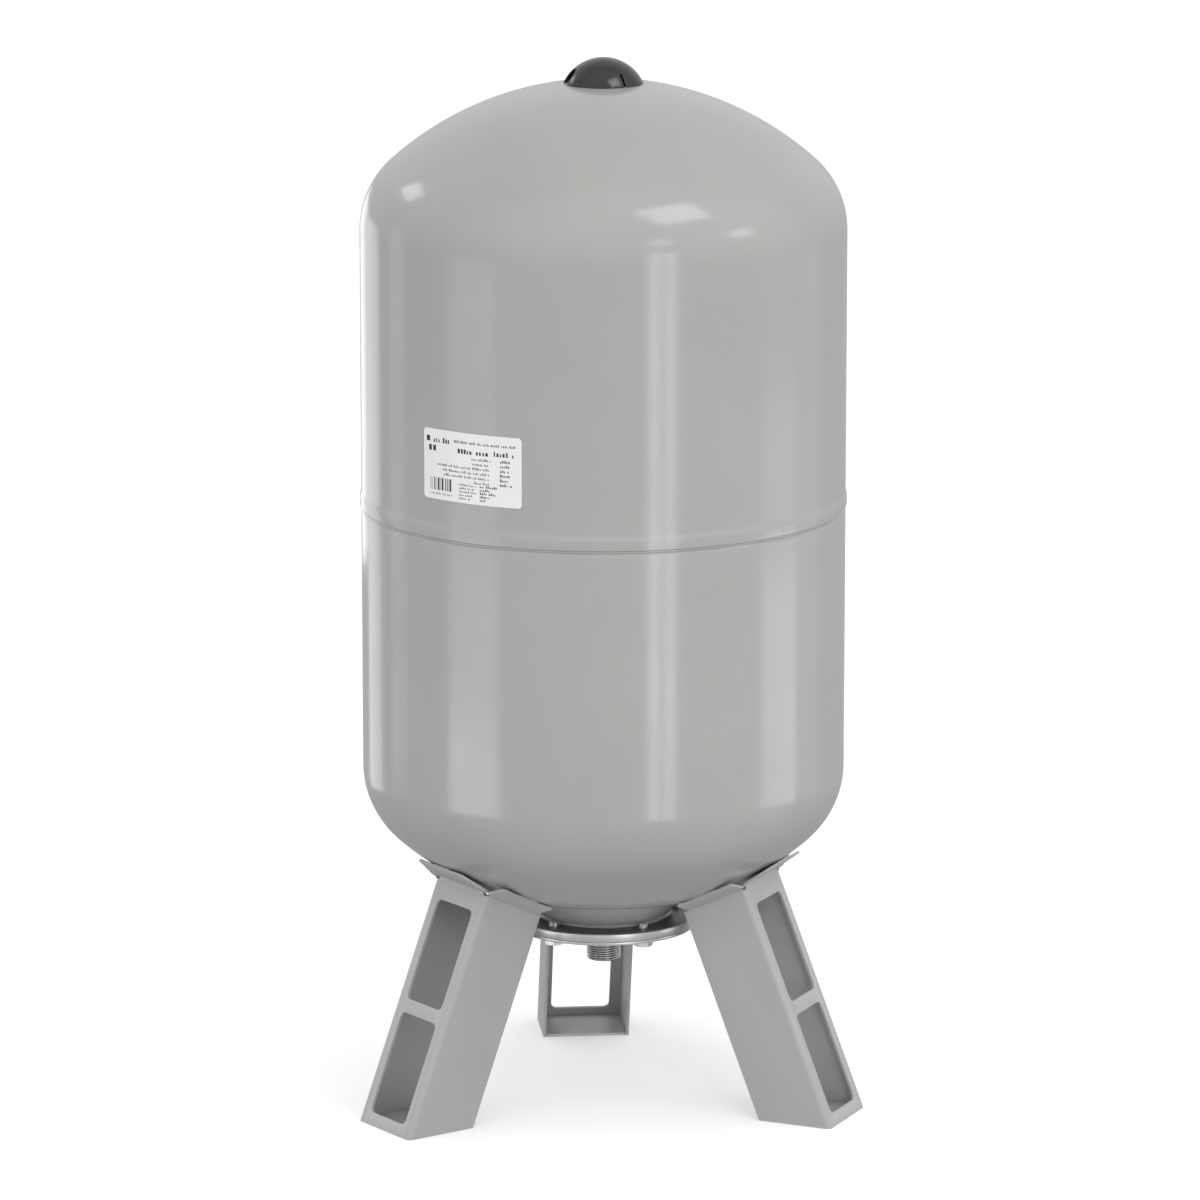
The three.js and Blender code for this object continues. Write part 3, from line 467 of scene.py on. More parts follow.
upper_outline = rounded([(LIP_RADIUS - WALL, LIP_LOW, 0.4), (LIP_RADIUS, LIP_LOW, 0.5), *joggle(0)])
upper_outline += rows(SHELL_RADIUS, LIP_LOW + 20, UPPER_TANGENT, 24)
upper_outline += [(r, UPPER_TANGENT + z) for r, z in head(0, VALVE_HOLE)][1:]
upper_outline += [(r, UPPER_TANGENT + z) for r, z in reversed(head(WALL, VALVE_HOLE))]
upper_outline += list(reversed(joggle(WALL)))
upper_shell = make("upper_shell_pressing", [lathe(upper_outline, SHELL_SIDES)])
finish(upper_shell, shell_paint, "shell_paint", "vessel", "upper_shell")


def neck(inset):
    """Half section from the sharp edge under the head, round the neck's fillet and bowl, to its mouth."""
    seat = LOWER_TANGENT + CROWN_DROP - math.sqrt(CROWN**2 - NECK_SEAT**2)
    wall_top = seat - 4 - 11
    height, draw = wall_top - FLANGE_TOP - 0.5, 58 - 50.2 - 0.1
    turn = 2 * math.atan(draw / height)
    belly = height / math.sin(turn)
    step = [(NECK_SEAT - 1.6 - inset * 0.4, seat - 1.0 + inset), (NECK_SEAT - 6, seat - 2.9 + inset)]
    fillet = arc(58 + 11, wall_top, 11 + inset, 90, 180, 14)
    bowl = arc(58 - belly, wall_top, belly - inset, 0, -math.degrees(turn), 8)[1:]
    return [*step, *fillet, *bowl, (50.2 - inset, NECK_END)]


def lower_wall(inset):
    """The lower shell's drawn-in edge and plain wall, from the top down."""
    out, top = SHELL_RADIUS - inset, TONGUE_TOP
    drawn = out - 1.0
    bend = [(drawn + (out - drawn) * w, LIP_LOW - 0.8 - 3.5 * i / 6) for i, w in enumerate(wave(6))]
    return [(drawn, top), *bend, *rows(out, LIP_LOW - 14, LOWER_TANGENT, 24)]


lower_outline = [*lower_wall(0), *[(r, LOWER_TANGENT - z) for r, z in head(0, NECK_SEAT)][1:], *neck(0)]
inner = [*lower_wall(WALL), *[(r, LOWER_TANGENT - z) for r, z in head(WALL, NECK_SEAT)][1:], *neck(WALL)]
lower_shell = make("lower_shell_pressing", [lathe(lower_outline + inner[::-1], SHELL_SIDES)], 26)
finish(lower_shell, shell_paint, "shell_paint", "vessel", "lower_shell")

# Girth weld: a fine rippled bead under the lip
BEAD_SIDES = 1440
BEAD_ROOT, BEAD_RADIUS = SHELL_RADIUS - 0.3, SHELL_RADIUS + 0.35
BEAD_HALF = 0.8
RIPPLES = 360


def rippled(r, z, angle):
    phase = RIPPLES * angle + 1.1 * np.sin(7 * angle) + 0.8 * (z - WELD_LOW)
    swell = 0.10 * np.abs(np.sin(phase / 2)) + 0.05 * np.sin(23 * angle)
    outer = np.clip((r - SHELL_RADIUS) / (BEAD_RADIUS - SHELL_RADIUS), 0, 1)
    return r - (0.16 - swell) * outer, z


bead_middle = WELD_TOP - BEAD_HALF
bead = [(BEAD_ROOT + (BEAD_RADIUS - BEAD_ROOT) * math.cos(a), bead_middle + BEAD_HALF * math.sin(a))
        for a in np.radians(np.linspace(-90, 90, 9))]
bead += [(SHELL_RADIUS - 0.5, WELD_TOP), (SHELL_RADIUS - 0.5, WELD_TOP - 0.9)]
girth_weld = make("girth_weld_bead", [lathe(bead, BEAD_SIDES, rippled)], 50)
finish(girth_weld, shell_paint, "shell_paint", "vessel", "girth_weld")

# ---------------------------------------------------------------- flange stack

BOLT_CIRCLE = 58.5
BOLT_NODES = [f"flange_bolt_{i}" for i in range(1, 6)]
BOLT_HOLE = 4.3


def azimuth_of(node):
    """Azimuth of the middle of a node's box."""
    low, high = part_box(node)
    middle = (low + high) / 2 - AXIS
    return math.degrees(math.atan2(middle.x, -middle.y))


def bolt_holes(low, high):
    """Cutters for the bolts' holes, countersunk a little at both ends."""
    lead, past = 0.45, 1
    flared = BOLT_HOLE + lead + past
    outline = [(0, low - past), (flared, low - past), (BOLT_HOLE, low + lead), (BOLT_HOLE, high - lead),
               (flared, high + past), (0, high + past)]
    points, faces = lathe(outline, 40)
    return [make("hole", [(turned(points, azimuth_of(n), BOLT_CIRCLE), faces)]) for n in BOLT_NODES]


flange_outline = rounded([
    (50.5, FLANGE_LOW + 1.8, 0.2), (53.7, FLANGE_LOW + 1.8), (53.7, FLANGE_LOW, 0.2),
    (FLANGE_RADIUS, FLANGE_LOW, 0.5), (FLANGE_RADIUS, FLANGE_TOP - 0.8, 0.25),
    (FLANGE_RADIUS - 0.8, FLANGE_TOP, 0.25), (50.5, FLANGE_TOP, 0.2)], 3)
neck_flange = make("neck_flange_ring", [lathe(flange_outline, 180)])
carve(neck_flange, bolt_holes(FLANGE_LOW, FLANGE_TOP))
finish(neck_flange, flange_steel, "flange_steel", "vessel", "neck_flange")

# Painted fillet weld that holds the ring to the neck
fillet = [(50.5, FLANGE_TOP + 0.05), (52.9, FLANGE_TOP + 0.05),
          *arc(52.9, FLANGE_TOP + 1.9, 1.7, -90, -170, 6)[1:]]
fillet_weld = make("neck_weld_bead", [lathe(fillet, 720, lambda r, z, a: (
    r + 0.12 * np.abs(np.sin(75 * a)) * (r > 51), z))], 50)
finish(fillet_weld, shell_paint, "shell_paint", "vessel")

cover_outline = rounded([
    (NOZZLE_RADIUS + 0.3, COVER_LOW), (COVER_RADIUS, COVER_LOW, 0.6), (COVER_RADIUS, COVER_TOP, 0.6),
    (39, COVER_TOP), (38, SPIGOT_TOP, 0.4), (NOZZLE_RADIUS + 0.3, SPIGOT_TOP, 0.3)], 3)
cover_flange = make("cover_flange_plate", [lathe(cover_outline, 180)])
carve(cover_flange, bolt_holes(COVER_LOW, COVER_TOP))
finish(cover_flange, flange_steel, "flange_steel", "vessel", "cover_flange")


def thread(pitch, depth, low, high, out):
    """shape() for lathe(): a right-hand thread between two heights, with rounded crests of radius out."""
    def shape(r, z, angle):
        phase = (z / pitch - angle / (2 * math.pi)) % 1
        tooth = np.clip(np.abs(2 * phase - 1) * 1.35 - 0.175, 0, 1)
        tooth = tooth * tooth * (3 - 2 * tooth)
        fade = np.clip((z - low) / pitch, 0, 1) * np.clip((high - z) / pitch, 0, 1)
        cut = depth * tooth * np.where((z > low) & (z < high), fade, 0)
        return np.where(r > out - 1e-6, r - cut, r), z
    return shape


G34_PITCH = 1.814
nozzle_bore = 9.8
nozzle_outline = [
    *rounded([(nozzle_bore, NOZZLE_LOW, 0.4), (NOZZLE_RADIUS - 1.6, NOZZLE_LOW, 0.2)], 3),
    *rows(NOZZLE_RADIUS, NOZZLE_LOW + 0.3, COVER_LOW - 1.2, G34_PITCH / 12),
    (NOZZLE_RADIUS, NOZZLE_TOP), (nozzle_bore, NOZZLE_TOP)]


def nozzle_shape(r, z, angle):
    r, z = thread(G34_PITCH, 1.16, NOZZLE_LOW - 2, COVER_LOW - 3.2, NOZZLE_RADIUS)(r, z, angle)
    lead = NOZZLE_RADIUS - 1.5 + (z - NOZZLE_LOW)
    return np.minimum(r, np.maximum(lead, nozzle_bore)), z


water_nozzle = make("threaded_nozzle", [lathe(nozzle_outline, 96, nozzle_shape)], 60)
finish(water_nozzle, nozzle_steel, "nozzle_steel", "vessel", "water_nozzle")

# Weld between the nozzle and the cover
ring_weld = [(NOZZLE_RADIUS + 0.1, COVER_LOW - 0.05),
             *arc(NOZZLE_RADIUS + 2.6, COVER_LOW - 2.5, 2.4, 90, 175, 6)]
nozzle_weld = make("nozzle_weld_bead", [lathe(ring_weld, 360, lambda r, z, a: (
    r, z - 0.12 * np.abs(np.sin(24 * a)) * (r > NOZZLE_RADIUS + 0.4)))], 50)
finish(nozzle_weld, nozzle_steel, "nozzle_steel", "vessel")

# ---------------------------------------------------------------- flange bolts

M8_PITCH = 1.25
BOLT_RADIUS = 3.9
BOLT_LOW, BOLT_TIP, _ = span("flange_bolt_1")
SEAT = COVER_LOW - 0.2
FLATS = 13


def bolt_shape(r, z, angle):
    corner = 1 / np.cos(angle % (math.pi / 3) - math.pi / 6)
    side = r > FLATS / 2 - 0.05
    hexed = np.where(side, r * corner, r)
    chamfer = np.maximum(hexed - FLATS * 0.485, 0) * math.tan(math.radians(30))
    z = np.where(side, np.maximum(z, BOLT_LOW + chamfer), z)
    z = np.where(side & (z > BOLT_LOW + 3), np.minimum(z, SEAT - 0.25), z)
    hexed, z = thread(M8_PITCH, 0.68, FLANGE_TOP - 1, BOLT_TIP + 2, BOLT_RADIUS)(hexed, z, angle)
    lead = BOLT_RADIUS - 0.9 + (BOLT_TIP - z)
    return np.where((z > FLANGE_TOP) & (r > 0), np.minimum(hexed, lead), hexed), z


bolt_outline = [
    (0, BOLT_LOW + 0.25), (4.3, BOLT_LOW + 0.25), (4.6, BOLT_LOW), (6.2, BOLT_LOW), (6.5, BOLT_LOW),
    (6.5, BOLT_LOW + 0.9), (6.5, SEAT), (6.2, SEAT - 0.25), (6.0, SEAT), (BOLT_RADIUS - 0.05, SEAT),
    *rows(BOLT_RADIUS, FLANGE_TOP - 1.2, BOLT_TIP - 0.05, M8_PITCH / 12),
    (BOLT_RADIUS - 0.95, BOLT_TIP), (0, BOLT_TIP)]
bolt_points, bolt_faces = lathe(bolt_outline, 72, bolt_shape)
for i, node in enumerate(BOLT_NODES):
    spin = Matrix.Rotation(math.radians(7 + 23 * i), 3, "Z")
    spun = bolt_points @ np.array(spin).T
    bolt = make(f"hex_bolt_{i + 1}", [(turned(spun, azimuth_of(node), BOLT_CIRCLE), bolt_faces)], 40)
    finish(bolt, bolt_zinc, "bolt_zinc", "vessel", node)

# ---------------------------------------------------------------- legs

for side in ("left", "right", "rear"):
    node = f"leg_{side}"
    sheet_faces = [tuple(p.vertices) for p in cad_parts[node].data.polygons]
    leg = make(f"folded_leg_{side}", [(node_points(node), sheet_faces)])
    soften(leg, 0.35, 2, 50)
    finish(leg, leg_paint, "leg_paint", "vessel", node)

# ---------------------------------------------------------------- bladder

BAG_WALL = 2.0


def bag(inset):
    """Section of the bag above its neck."""
    low = arc(118 - 95, 300, 95 - inset, -70, 0, 14)
    high = arc(118 - 60, 430, 60 - inset, 0, 78, 14)
    return low + high + [(24, 497.4 - inset), (0, 498 - inset)]


bag_low = FLANGE_LOW + 0.1
bag_outline = [*reversed(bag(BAG_WALL)), (41, bag_low + 41), (41, bag_low), (53.3, bag_low),
               (53.3, bag_low + 1.5), (44.5, bag_low + 1.5), (43, bag_low + 4.5), (43, bag_low + 41.5),
               *bag(0)]
bladder = make("rubber_bladder", [lathe(bag_outline, 96)], 45)
finish(bladder, bladder_rubber, "bladder_rubber", "vessel", "bladder")

# ---------------------------------------------------------------- charging valve

boss_outline = rounded([
    (5.5, BOSS_LOW, 0.3), (9.5, BOSS_LOW, 0.3), (9.5, BOSS_TOP - 2), (COLLAR_RADIUS, BOSS_TOP - 2, 0.2),
    (COLLAR_RADIUS, BOSS_TOP - 0.6, 0.2), (COLLAR_RADIUS - 0.6, BOSS_TOP, 0.2), (5.5, BOSS_TOP, 0.2)], 3)
valve_boss = make("valve_boss_turning", [lathe(boss_outline, 96)])
finish(valve_boss, boss_steel, "boss_steel", "vessel", "valve_boss")

VALVE_PITCH = 0.794
STEM_THREAD = 3.85
stem_outline = [
    (2.95, STEM_LOW), *rounded([(5.2, STEM_LOW, 0.3), (5.2, HEX_LOW)], 3),
    (5.7, HEX_LOW), (5.95, HEX_LOW), (6.0, HEX_LOW + 0.1), (6.0, HEX_LOW + 0.5), (6.0, HEX_TOP - 0.4),
    (5.95, HEX_TOP), (5.6, HEX_TOP), (STEM_THREAD - 0.5, HEX_TOP),
    *rows(STEM_THREAD, HEX_TOP + 0.3, STEM_TOP, VALVE_PITCH / 10),
    (STEM_THREAD - 0.5, STEM_TOP), (2.95, STEM_TOP)]
stem_thread = thread(VALVE_PITCH, 0.42, HEX_TOP + 0.4, STEM_TOP + 1, STEM_THREAD)


def stem_shape(r, z, angle):
    corner = 1 / np.cos(angle % (math.pi / 3) - math.pi / 6)
    side = r > 5.9
    hexed = np.where(side, r * corner, r)
    chamfer = np.maximum(hexed - 6, 0) * 0.5
    z = np.where(side & (z > HEX_LOW + 1), np.minimum(z, HEX_TOP - chamfer), z)
    threaded = (z > HEX_TOP) & (r > STEM_THREAD - 0.1)
    cut, _ = stem_thread(np.where(threaded, r, 0), z, angle)
    hexed = np.where(threaded, np.minimum(cut, STEM_THREAD - 0.55 + (STEM_TOP - z)), hexed)
    return hexed, z


valve_stem = make("valve_stem_turning", [lathe(stem_outline, 72, stem_shape)], 40)
finish(valve_stem, valve_brass, "valve_brass", "vessel", "valve_stem")

CORE_PITCH = 0.705
core_outline = rounded([
    (1.1, CORE_LOW, 0.1), (2.2, CORE_LOW, 0.15), (2.2, CORE_TOP - 3.6), (CORE_RADIUS, CORE_TOP - 3.2)], 3)
core_outline += rows(CORE_RADIUS, CORE_TOP - 3.1, CORE_TOP - 0.2, 0.07)
core_outline += [(CORE_RADIUS - 0.2, CORE_TOP), (1.75, CORE_TOP), (1.75, CORE_LOW + 2.2),
                 (1.1, CORE_LOW + 2.2)]
core_thread = thread(CORE_PITCH, 0.3, CORE_TOP - 3.3, CORE_TOP + 0.6, CORE_RADIUS)
core = make("valve_insert_body", [lathe(core_outline, 48, core_thread)], 45)
finish(core, valve_brass, "valve_brass", "vessel", "valve_core_body")

collar_low = SPRING_TOP + 0.3
pin_outline = rounded([
    (0, PIN_LOW), (PIN_SEAT_RADIUS, PIN_LOW, 0.3), (PIN_SEAT_RADIUS, PIN_LOW + 2.2, 0.2),
    (0.8, PIN_LOW + 2.2), (0.8, collar_low), (1.45, collar_low, 0.1),
    (1.45, collar_low + 0.8, 0.15), (0.8, collar_low + 0.8),
    (0.8, PIN_TOP, 0.3), (0, PIN_TOP)], 3)
pin = make("valve_insert_pin", [lathe(pin_outline, 32)], 50)
finish(pin, valve_brass, "valve_brass", "valve_pin", "valve_core_pin")

# Return spring, with closed end turns
SPRING_WIRE = 0.16
spring_radius = SPRING_OUT - SPRING_WIRE
turns, per_turn, around = 7.0, 28, 8
lead = 0.9
path, tube_points, tube_faces = [], [], []
for k in range(int(turns * per_turn) + 1):
    t = k / per_turn
    rise = min(max((t - lead) / (turns - 2 * lead), 0), 1)
    z = SPRING_LOW + SPRING_WIRE + 0.3 * min(t, lead) + 0.3 * max(t - turns + lead, 0) + \
        (SPRING_TOP - SPRING_LOW - 2 * SPRING_WIRE - 0.6 * lead) * rise
    path.append((2 * math.pi * t, z))
for a, z in path:
    for j in range(around):
        b = 2 * math.pi * j / around
        r = spring_radius + SPRING_WIRE * math.cos(b)
        tube_points.append((r * math.cos(a), r * math.sin(a), z + SPRING_WIRE * math.sin(b)))
for k in range(len(path) - 1):
    a, b = k * around, (k + 1) * around
    tube_faces += [(a + j, b + j, b + (j + 1) % around, a + (j + 1) % around) for j in range(around)]
tube_faces += [tuple(range(around))[::-1], tuple(len(tube_points) - around + j for j in range(around))]
spring = make("valve_insert_spring", [(np.array(tube_points), tube_faces)], 50)
finish(spring, spring_steel, "spring_steel", "vessel", "valve_core_spring")
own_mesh(spring)

seal_low, seal_high, _ = span("valve_core_seal")
core_seal = make("valve_insert_seal", [lathe(rounded([
    (2.3, seal_low, 0.2), (2.85, seal_low, 0.2), (2.85, seal_high, 0.2), (2.3, seal_high, 0.2)], 3), 48)])
finish(core_seal, seal_rubber, "seal_rubber", "vessel", "valve_core_seal")

GROOVES = 24


def ribbed(r, z, angle):
    groove = np.clip(np.cos(GROOVES / 2 * angle) ** 2 * 1.6 - 0.6, 0, 1)
    zone = np.clip((CAP_TOP - 1.1 - z) / 0.5, 0, 1)
    return r - np.where(r > CAP_RADIUS - 0.2, 0.34 * groove * zone, 0), z


cap_outline = rounded([
    (4.15, CAP_LOW, 0.2), (CAP_RADIUS, CAP_LOW, 0.2)], 3)
cap_outline += rows(CAP_RADIUS, CAP_LOW + 0.4, CAP_TOP - 1.0, 0.25)
cap_outline += rounded([(CAP_RADIUS, CAP_TOP - 1.0), (CAP_RADIUS - 0.05, CAP_TOP, 1.0), (0, CAP_TOP)], 5)
cap_outline += [(0, CAP_TOP - 0.9), *rows(4.15, CAP_TOP - 0.9, CAP_LOW + 0.4, 0.1)]
valve_cap = make("ribbed_valve_cap", [lathe(cap_outline, 144, ribbed)], 40)
finish(valve_cap, cap_plastic, "valve_cap_plastic", "valve_cap", "valve_cap")

disc_low, disc_high, disc_radius = span("valve_cap_seal")
cap_seal = make("valve_cap_sealing_disc", [lathe(rounded([
    (0, disc_low), (disc_radius, disc_low, 0.2), (disc_radius, disc_high, 0.2), (0, disc_high)], 3), 64)])
finish(cap_seal, seal_rubber, "seal_rubber", "valve_cap_carrier", "valve_cap_seal")

# ---------------------------------------------------------------- dust cap

CAP_WALL = 1.9
HUB_BORE, HUB_WALL = 13.3, 1.6
dust_height = DUST_TOP - DUST_LOW
sphere = (DUST_RADIUS**2 + dust_height**2) / (2 * dust_height)
centre = DUST_TOP - sphere
inside = sphere - CAP_WALL
hub_low = crown_height(HUB_BORE) + 0.6


def polar(r, radius):
    return math.degrees(math.acos(r / radius))


hub_out = HUB_BORE + HUB_WALL
base_in = math.sqrt(inside**2 - (DUST_LOW - centre) ** 2)
dome = arc(0, centre, sphere, polar(DUST_RADIUS, sphere), 90, 40)
dome[-1] = (0, DUST_TOP)
under = arc(0, centre, inside, 90, polar(HUB_BORE, inside), 12)
under[0] = (0, centre + inside)
rest = arc(0, centre, inside, polar(hub_out, inside), polar(base_in, inside), 18)
dust_outline = [*dome, *under, (HUB_BORE, hub_low), (hub_out, hub_low), *rest]
dust_cap = make("domed_dust_cap", [lathe(dust_outline, 160)])


def opening(width, height, azimuth, depth=20):
    """Cutter for a slot in the cap's skirt, with a rounded top."""
    half = width / 2
    section = [(-half, -height), (half, -height), *arc(0, height - half, half, 0, 180, 16)]
    low, n = hub_out + 0.6, len(section)
    points = [(low + d, y, DUST_LOW + z) for d in (0, depth) for y, z in section]
    faces = [tuple(range(n)), tuple(range(2 * n - 1, n - 1, -1))]
    faces += [(i, (i + 1) % n, n + (i + 1) % n, n + i) for i in range(n)]
    return make("slot", [(turned(np.array(points), azimuth), faces)])


SLOT = {"width": 2.2, "height": 9.5}
THUMB_NOTCH = {"width": 12.8, "height": 11.5}
carve(dust_cap, [opening(**SLOT, azimuth=27.6), opening(**SLOT, azimuth=147.6),
                 opening(**THUMB_NOTCH, azimuth=-82.5)])
soften(dust_cap, 0.3, 2, 45)
finish(dust_cap, dust_plastic, "dust_cap_plastic", "dust_cap", "dust_cap")

# ---------------------------------------------------------------- label

label_points = node_points("rating_label")
label_angles = np.degrees(np.arctan2(label_points[:, 0], -label_points[:, 1]))
LABEL_MIDDLE = (label_angles.min() + label_angles.max()) / 2
LABEL_WIDTH = math.radians(label_angles.max() - label_angles.min()) * SHELL_RADIUS
LABEL_HEIGHT = LABEL_HIGH - LABEL_LOW
LABEL_IN = SHELL_RADIUS + 0.1
LABEL_OUT = SHELL_RADIUS + 0.33


def wrapped(x, y, radius):
    """A point of the flat label (from its middle, to the right and up) on the shell."""
    a = math.radians(LABEL_MIDDLE) + x / SHELL_RADIUS
    return radius * math.sin(a), -radius * math.cos(a), (LABEL_LOW + LABEL_HIGH) / 2 + y


def label_sheet(columns=64, corner=3.0):
    """The label as columns of quads whose ends follow its rounded corners."""
    xs = np.concatenate([np.linspace(-LABEL_WIDTH / 2, -LABEL_WIDTH / 2 + corner, 9)[:-1],
                         np.linspace(-LABEL_WIDTH / 2 + corner, LABEL_WIDTH / 2 - corner, columns),
                         np.linspace(LABEL_WIDTH / 2 - corner, LABEL_WIDTH / 2, 9)[1:]])
    points, faces = [], []
    for x in xs:
        into = max(abs(x) - (LABEL_WIDTH / 2 - corner), 0)
        half = LABEL_HEIGHT / 2 - corner + math.sqrt(max(corner**2 - into**2, 0))
        points += [wrapped(x, -half, LABEL_IN), wrapped(x, half, LABEL_IN),
                   wrapped(x, half, LABEL_OUT), wrapped(x, -half, LABEL_OUT)]
    for i in range(len(xs) - 1):
        a, b = 4 * i, 4 * i + 4
        faces += [(a + j, a + (j + 1) % 4, b + (j + 1) % 4, b + j) for j in range(4)]
    last = len(points) - 4
    faces += [(3, 2, 1, 0), (last, last + 1, last + 2, last + 3)]
    return np.array(points), faces


label = make("label_sheet", [label_sheet()])
finish(label, label_film, "label_film", "vessel", "rating_label")


def mark(x, y, width, height):
    """One printed mark, a thin patch on the label's face with its lower left corner at (x, y)."""
    steps = max(1, math.ceil(width / 3))
    low, high = LABEL_OUT + 0.004, LABEL_OUT + 0.02
    points = [wrapped(x + width * i / steps, y + h, r) for i in range(steps + 1)
              for h, r in ((0, low), (height, low), (height, high), (0, high))]
    faces = [(4 * i + j, 4 * i + (j + 1) % 4, 4 * i + 4 + (j + 1) % 4, 4 * i + 4 + j)
             for i in range(steps) for j in range(4)]
    last = 4 * steps
    return np.array(points), faces + [(3, 2, 1, 0), (last, last + 1, last + 2, last + 3)]


def words(rng, x, y, width, height, stroke=0.62):
    """A line of made-up print: groups of small upright bars, some of them taller."""
    out, at, left_in_word = [], x, 0
    while at < x + width:
        if not left_in_word:
            left_in_word = int(rng.integers(3, 9))
            at += 1.6 * stroke
        thick = stroke * rng.uniform(0.7, 1.35)
        tall = height * float(rng.choice([0.55, 0.75, 1.0]))
        out.append(mark(at, y, thick, tall))
        at += thick + stroke * rng.uniform(0.45, 0.85)
        left_in_word -= 1
    return out


rng = np.random.default_rng(11)
left = -LABEL_WIDTH / 2
print_fine, print_dark = [], []

# Heading: a block and two bold rows, with two more blocks below
print_dark += words(rng, left + 8, 16.6, 17, 4.2, 1.5)
print_fine += words(rng, left + 29, 18.4, 54, 2.0, 0.75)
print_dark += [mark(left + 3, 17.0, 3.6, 4.2), mark(left + 5.5, 10.2, 2.8, 4.2),
               mark(left + 9.8, 10.2, 2.8, 4.2)]
print_dark += words(rng, left + 31, 10.8, 28, 4.6, 1.7)
print_dark += words(rng, left + 63, 11.2, 18, 3.8, 1.5)

# Table: rows that end at the same place, each with a bold value
ROW_END, VALUE_START, ROW_PITCH = left + 61, left + 69, 3.55
for row, (width, value_width) in enumerate(((16, 10), (15, 9), (48, 8), (43, 9), (42, 7), (14, 9))):
    y = 6.6 - ROW_PITCH * row
    print_fine += words(rng, ROW_END - width, y, width, 1.9, 0.75)
    print_dark += words(rng, VALUE_START, y, value_width, 2.2, 0.95)

# Small block at the bottom
SMALL_PITCH = 2.6
for row, (width, value_width) in enumerate(((15, 15), (14, 9), (16, 14), (12, 9), (10, 6))):
    y = -13.6 - SMALL_PITCH * row
    print_fine += words(rng, left + 34, y, width, 1.5, 0.7)
    print_dark += words(rng, left + 52, y, value_width, 1.8, 0.9)

# Bar code with a line under it
BARS_LOW, BARS_HEIGHT = -19.5, 9.5
at = left + 7
while at < left + 27:
    bar_width = float(rng.choice([0.4, 0.8, 1.7]))
    print_dark.append(mark(at, BARS_LOW, bar_width, BARS_HEIGHT))
    at += bar_width + float(rng.choice([0.5, 0.9, 1.6]))
print_fine += words(rng, left + 6, -22.8, 21, 1.4)
fine_print = make("label_fine_print", print_fine)
finish(fine_print, label_ink, "label_film", "vessel")
bold_print = make("label_bold_print", print_dark)
finish(bold_print, ink_dark, "label_film", "vessel")

# ---------------------------------------------------------------- floor, light and camera


def backdrop(name, size, height):
    """Round pale floor."""
    points, faces = lathe([(0, height - 20), (size, height - 20), (size, height), (0, height)], 96)
    return make(name, [(points, faces)])


FLOOR_RADIUS, FLOOR_TOP = 9000, -0.05
floor = backdrop("studio_floor", FLOOR_RADIUS, FLOOR_TOP)
f = Shader("floor_board", IOR=1.3, Emission_Color=(1, 1, 1, 1), Emission_Strength=0.22)
tone = f.noise(600, 2)
floor.data.materials.append(f.done(
    Base_Color=f.blend(tone, (0.93, 0.93, 0.93), (0.91, 0.91, 0.91)),
    Roughness=f.remap(tone, 0.3, 0.7, 0.85, 0.95), Normal=f.bump(f.noise(8, 2), 0.02)))
floor.visible_diffuse = floor.visible_glossy = floor.visible_shadow = False


FRONT = math.radians(10)
NADIR, ZENITH, BACK_LEVEL, FRONT_LEVEL = 0.50, 1.13, 0.77, 1.02


def surroundings():
    """White studio, brighter in front of the vessel than behind it, and dimmer towards the floor."""
    world = bpy.data.worlds.new("studio")
    world.use_nodes = True
    tree = world.node_tree
    way = tree.nodes.new("ShaderNodeTexCoord").outputs["Generated"]

    def along(direction, low, high, to_low, to_high):
        dot = tree.nodes.new("ShaderNodeVectorMath")
        dot.operation = "DOT_PRODUCT"
        dot.inputs[1].default_value = direction
        tree.links.new(way, dot.inputs[0])
        ramp = tree.nodes.new("ShaderNodeMapRange")
        ramp.interpolation_type = "SMOOTHSTEP"
        tree.links.new(dot.outputs["Value"], ramp.inputs["Value"])
        for end, number in (("From Min", low), ("From Max", high), ("To Min", to_low), ("To Max", to_high)):
            ramp.inputs[end].default_value = number
        return ramp.outputs["Result"]

    front = (math.sin(FRONT), -math.cos(FRONT), 0)
    both = tree.nodes.new("ShaderNodeMath")
    both.operation = "MULTIPLY"
    tree.links.new(along((0, 0, 1), -0.5, 0.5, NADIR, ZENITH), both.inputs[0])
    tree.links.new(along(front, -0.06, 0.05, BACK_LEVEL, FRONT_LEVEL), both.inputs[1])
    tree.links.new(both.outputs[0], tree.nodes["Background"].inputs["Strength"])
    tree.nodes["Background"].inputs["Color"].default_value = (1, 1, 1, 1)
    return world


bpy.context.scene.world = surroundings()


def softbox(name, spot, azimuth, elevation, distance, width, height, radiance, spread=180):
    """Panel that a surface point (mm from the axis) mirrors in that direction, at a distance in metres."""
    a, e = math.radians(azimuth), math.radians(elevation)
    way = Vector((math.sin(a) * math.cos(e), -math.cos(a) * math.cos(e), math.sin(e)))
    lamp = bpy.data.lights.new(name, "AREA")
    lamp.shape, lamp.size, lamp.size_y = "RECTANGLE", width, height
    lamp.energy = radiance * math.pi * width * height
    lamp.spread = math.radians(spread)
    panel = bpy.data.objects.new(name, lamp)
    bpy.context.scene.collection.objects.link(panel)
    panel.location = AXIS + Vector(spot) * MM + way * distance
    panel.rotation_mode = "QUATERNION"
    panel.rotation_quaternion = way.to_track_quat("Z", "Y")
    panel.visible_camera = False
    return panel


# Where on the shell each panel is mirrored
FRONT_RIGHT_A, FRONT_RIGHT_B = (22, -185, 470), (34, -183, 470)
LEFT_FLANK, LEFT_EDGE, LEFT_LINE = (-107, -152, 430), (-181, -45, 500), (-168, -79, 500)
RIGHT_FLANK, RIGHT_EDGE = (118, -142, 430), (144, -117, 430)

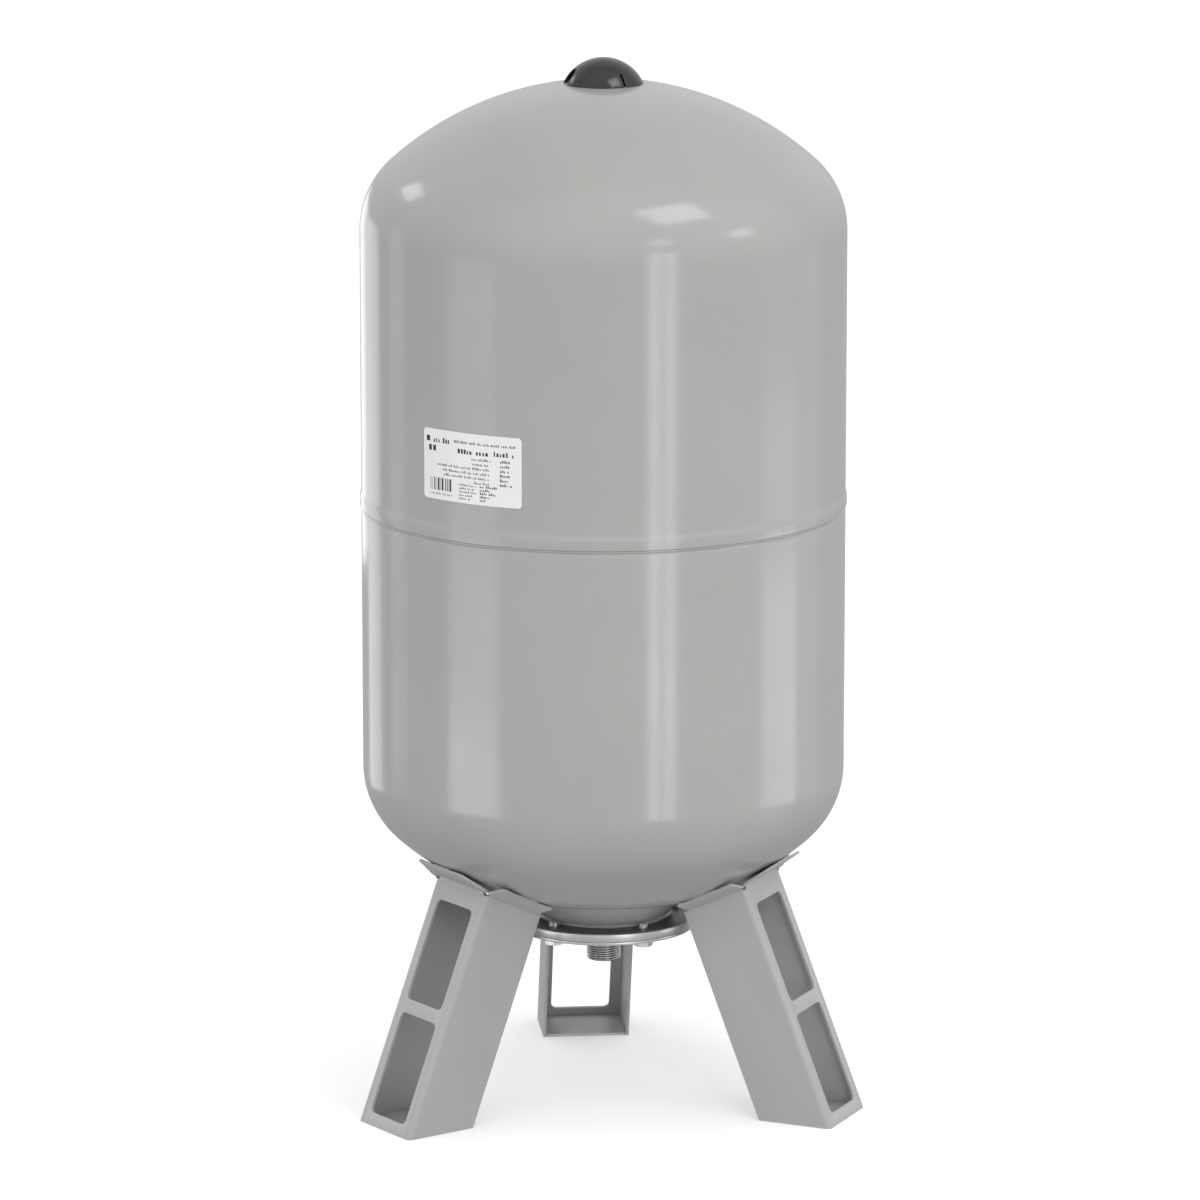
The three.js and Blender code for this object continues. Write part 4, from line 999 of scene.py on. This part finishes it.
softbox("strip_right_a", FRONT_RIGHT_A, 18.3, -3.6, 1.10, 0.105, 0.95, 4.3)
softbox("strip_right_b", FRONT_RIGHT_B, 25.9, -3.6, 1.10, 0.11, 0.95, 3.9)
softbox("panel_left_top", LEFT_FLANK, -70.5, -2.2, 1.15, 0.56, 0.35, 0.85)
softbox("panel_left_high", LEFT_FLANK, -70.5, -19, 1.15, 0.56, 0.32, 1.5)
softbox("panel_left_low", LEFT_FLANK, -70.5, -23, 1.15, 0.56, 0.18, 1.5)
softbox("rim_left_far", LEFT_EDGE, -165, -3.7, 1.4, 0.36, 0.54, 1.4)
softbox("rim_left", LEFT_EDGE, -147, -9.9, 1.4, 0.44, 0.81, 1.2)
softbox("rim_left_line", LEFT_LINE, -119.6, -6, 1.5, 0.32, 0.9, 0.6)
softbox("side_right_high", RIGHT_FLANK, 87, -13, 1.3, 0.54, 0.44, 0.9)
softbox("side_right_low", RIGHT_FLANK, 87, -18.5, 1.3, 0.54, 0.30, 1.2)
softbox("side_right_far", RIGHT_EDGE, 109, -8.8, 1.3, 0.41, 0.60, 0.35)

# Glints on the upper head, seen only as reflections
for glint in (softbox("overhead_right", (35, -171, 718), 43, 54, 4.0, 1.75, 1.50, 4.0),
              softbox("glint_left", (-151, -79, 723), -134.8, 28, 2.0, 0.50, 0.36, 2.8),
              softbox("glint_right", (87, -160, 701), 65.7, 20.5, 2.0, 0.42, 0.26, 3.4),
              softbox("glint_middle", (25, -182, 698), 22.6, 21.0, 2.0, 0.32, 0.24, 3.8)):
    glint.visible_diffuse = False

# Soft light from the right, with no reflection of its own
key = softbox("key_right", (100, -150, 550), 55, 40, 2.2, 1.4, 1.4, 0.85)
key.visible_glossy = False

AZIMUTH, PITCH, DISTANCE, LOOK_Z = -5.43, 12.32, 5.605, 0.3898
FOCAL_PX, FRAME_PX, AXIS_PX = 7272.9, 1200, 603.45
camera = bpy.data.cameras.new("camera")
camera.sensor_width = 36
camera.lens = FOCAL_PX / FRAME_PX * camera.sensor_width
camera.shift_x = (FRAME_PX / 2 - AXIS_PX) / FRAME_PX
camera.clip_end = 60
eye = bpy.data.objects.new("camera", camera)
bpy.context.scene.collection.objects.link(eye)
a, e = math.radians(AZIMUTH), math.radians(PITCH)
back = Vector((math.sin(a) * math.cos(e), -math.cos(a) * math.cos(e), math.sin(e)))
eye.location = AXIS + Vector((0, 0, LOOK_Z)) + back * DISTANCE
eye.rotation_mode = "QUATERNION"
eye.rotation_quaternion = back.to_track_quat("Z", "Y")
bpy.context.scene.camera = eye
bpy.context.scene.view_settings.view_transform = "Standard"
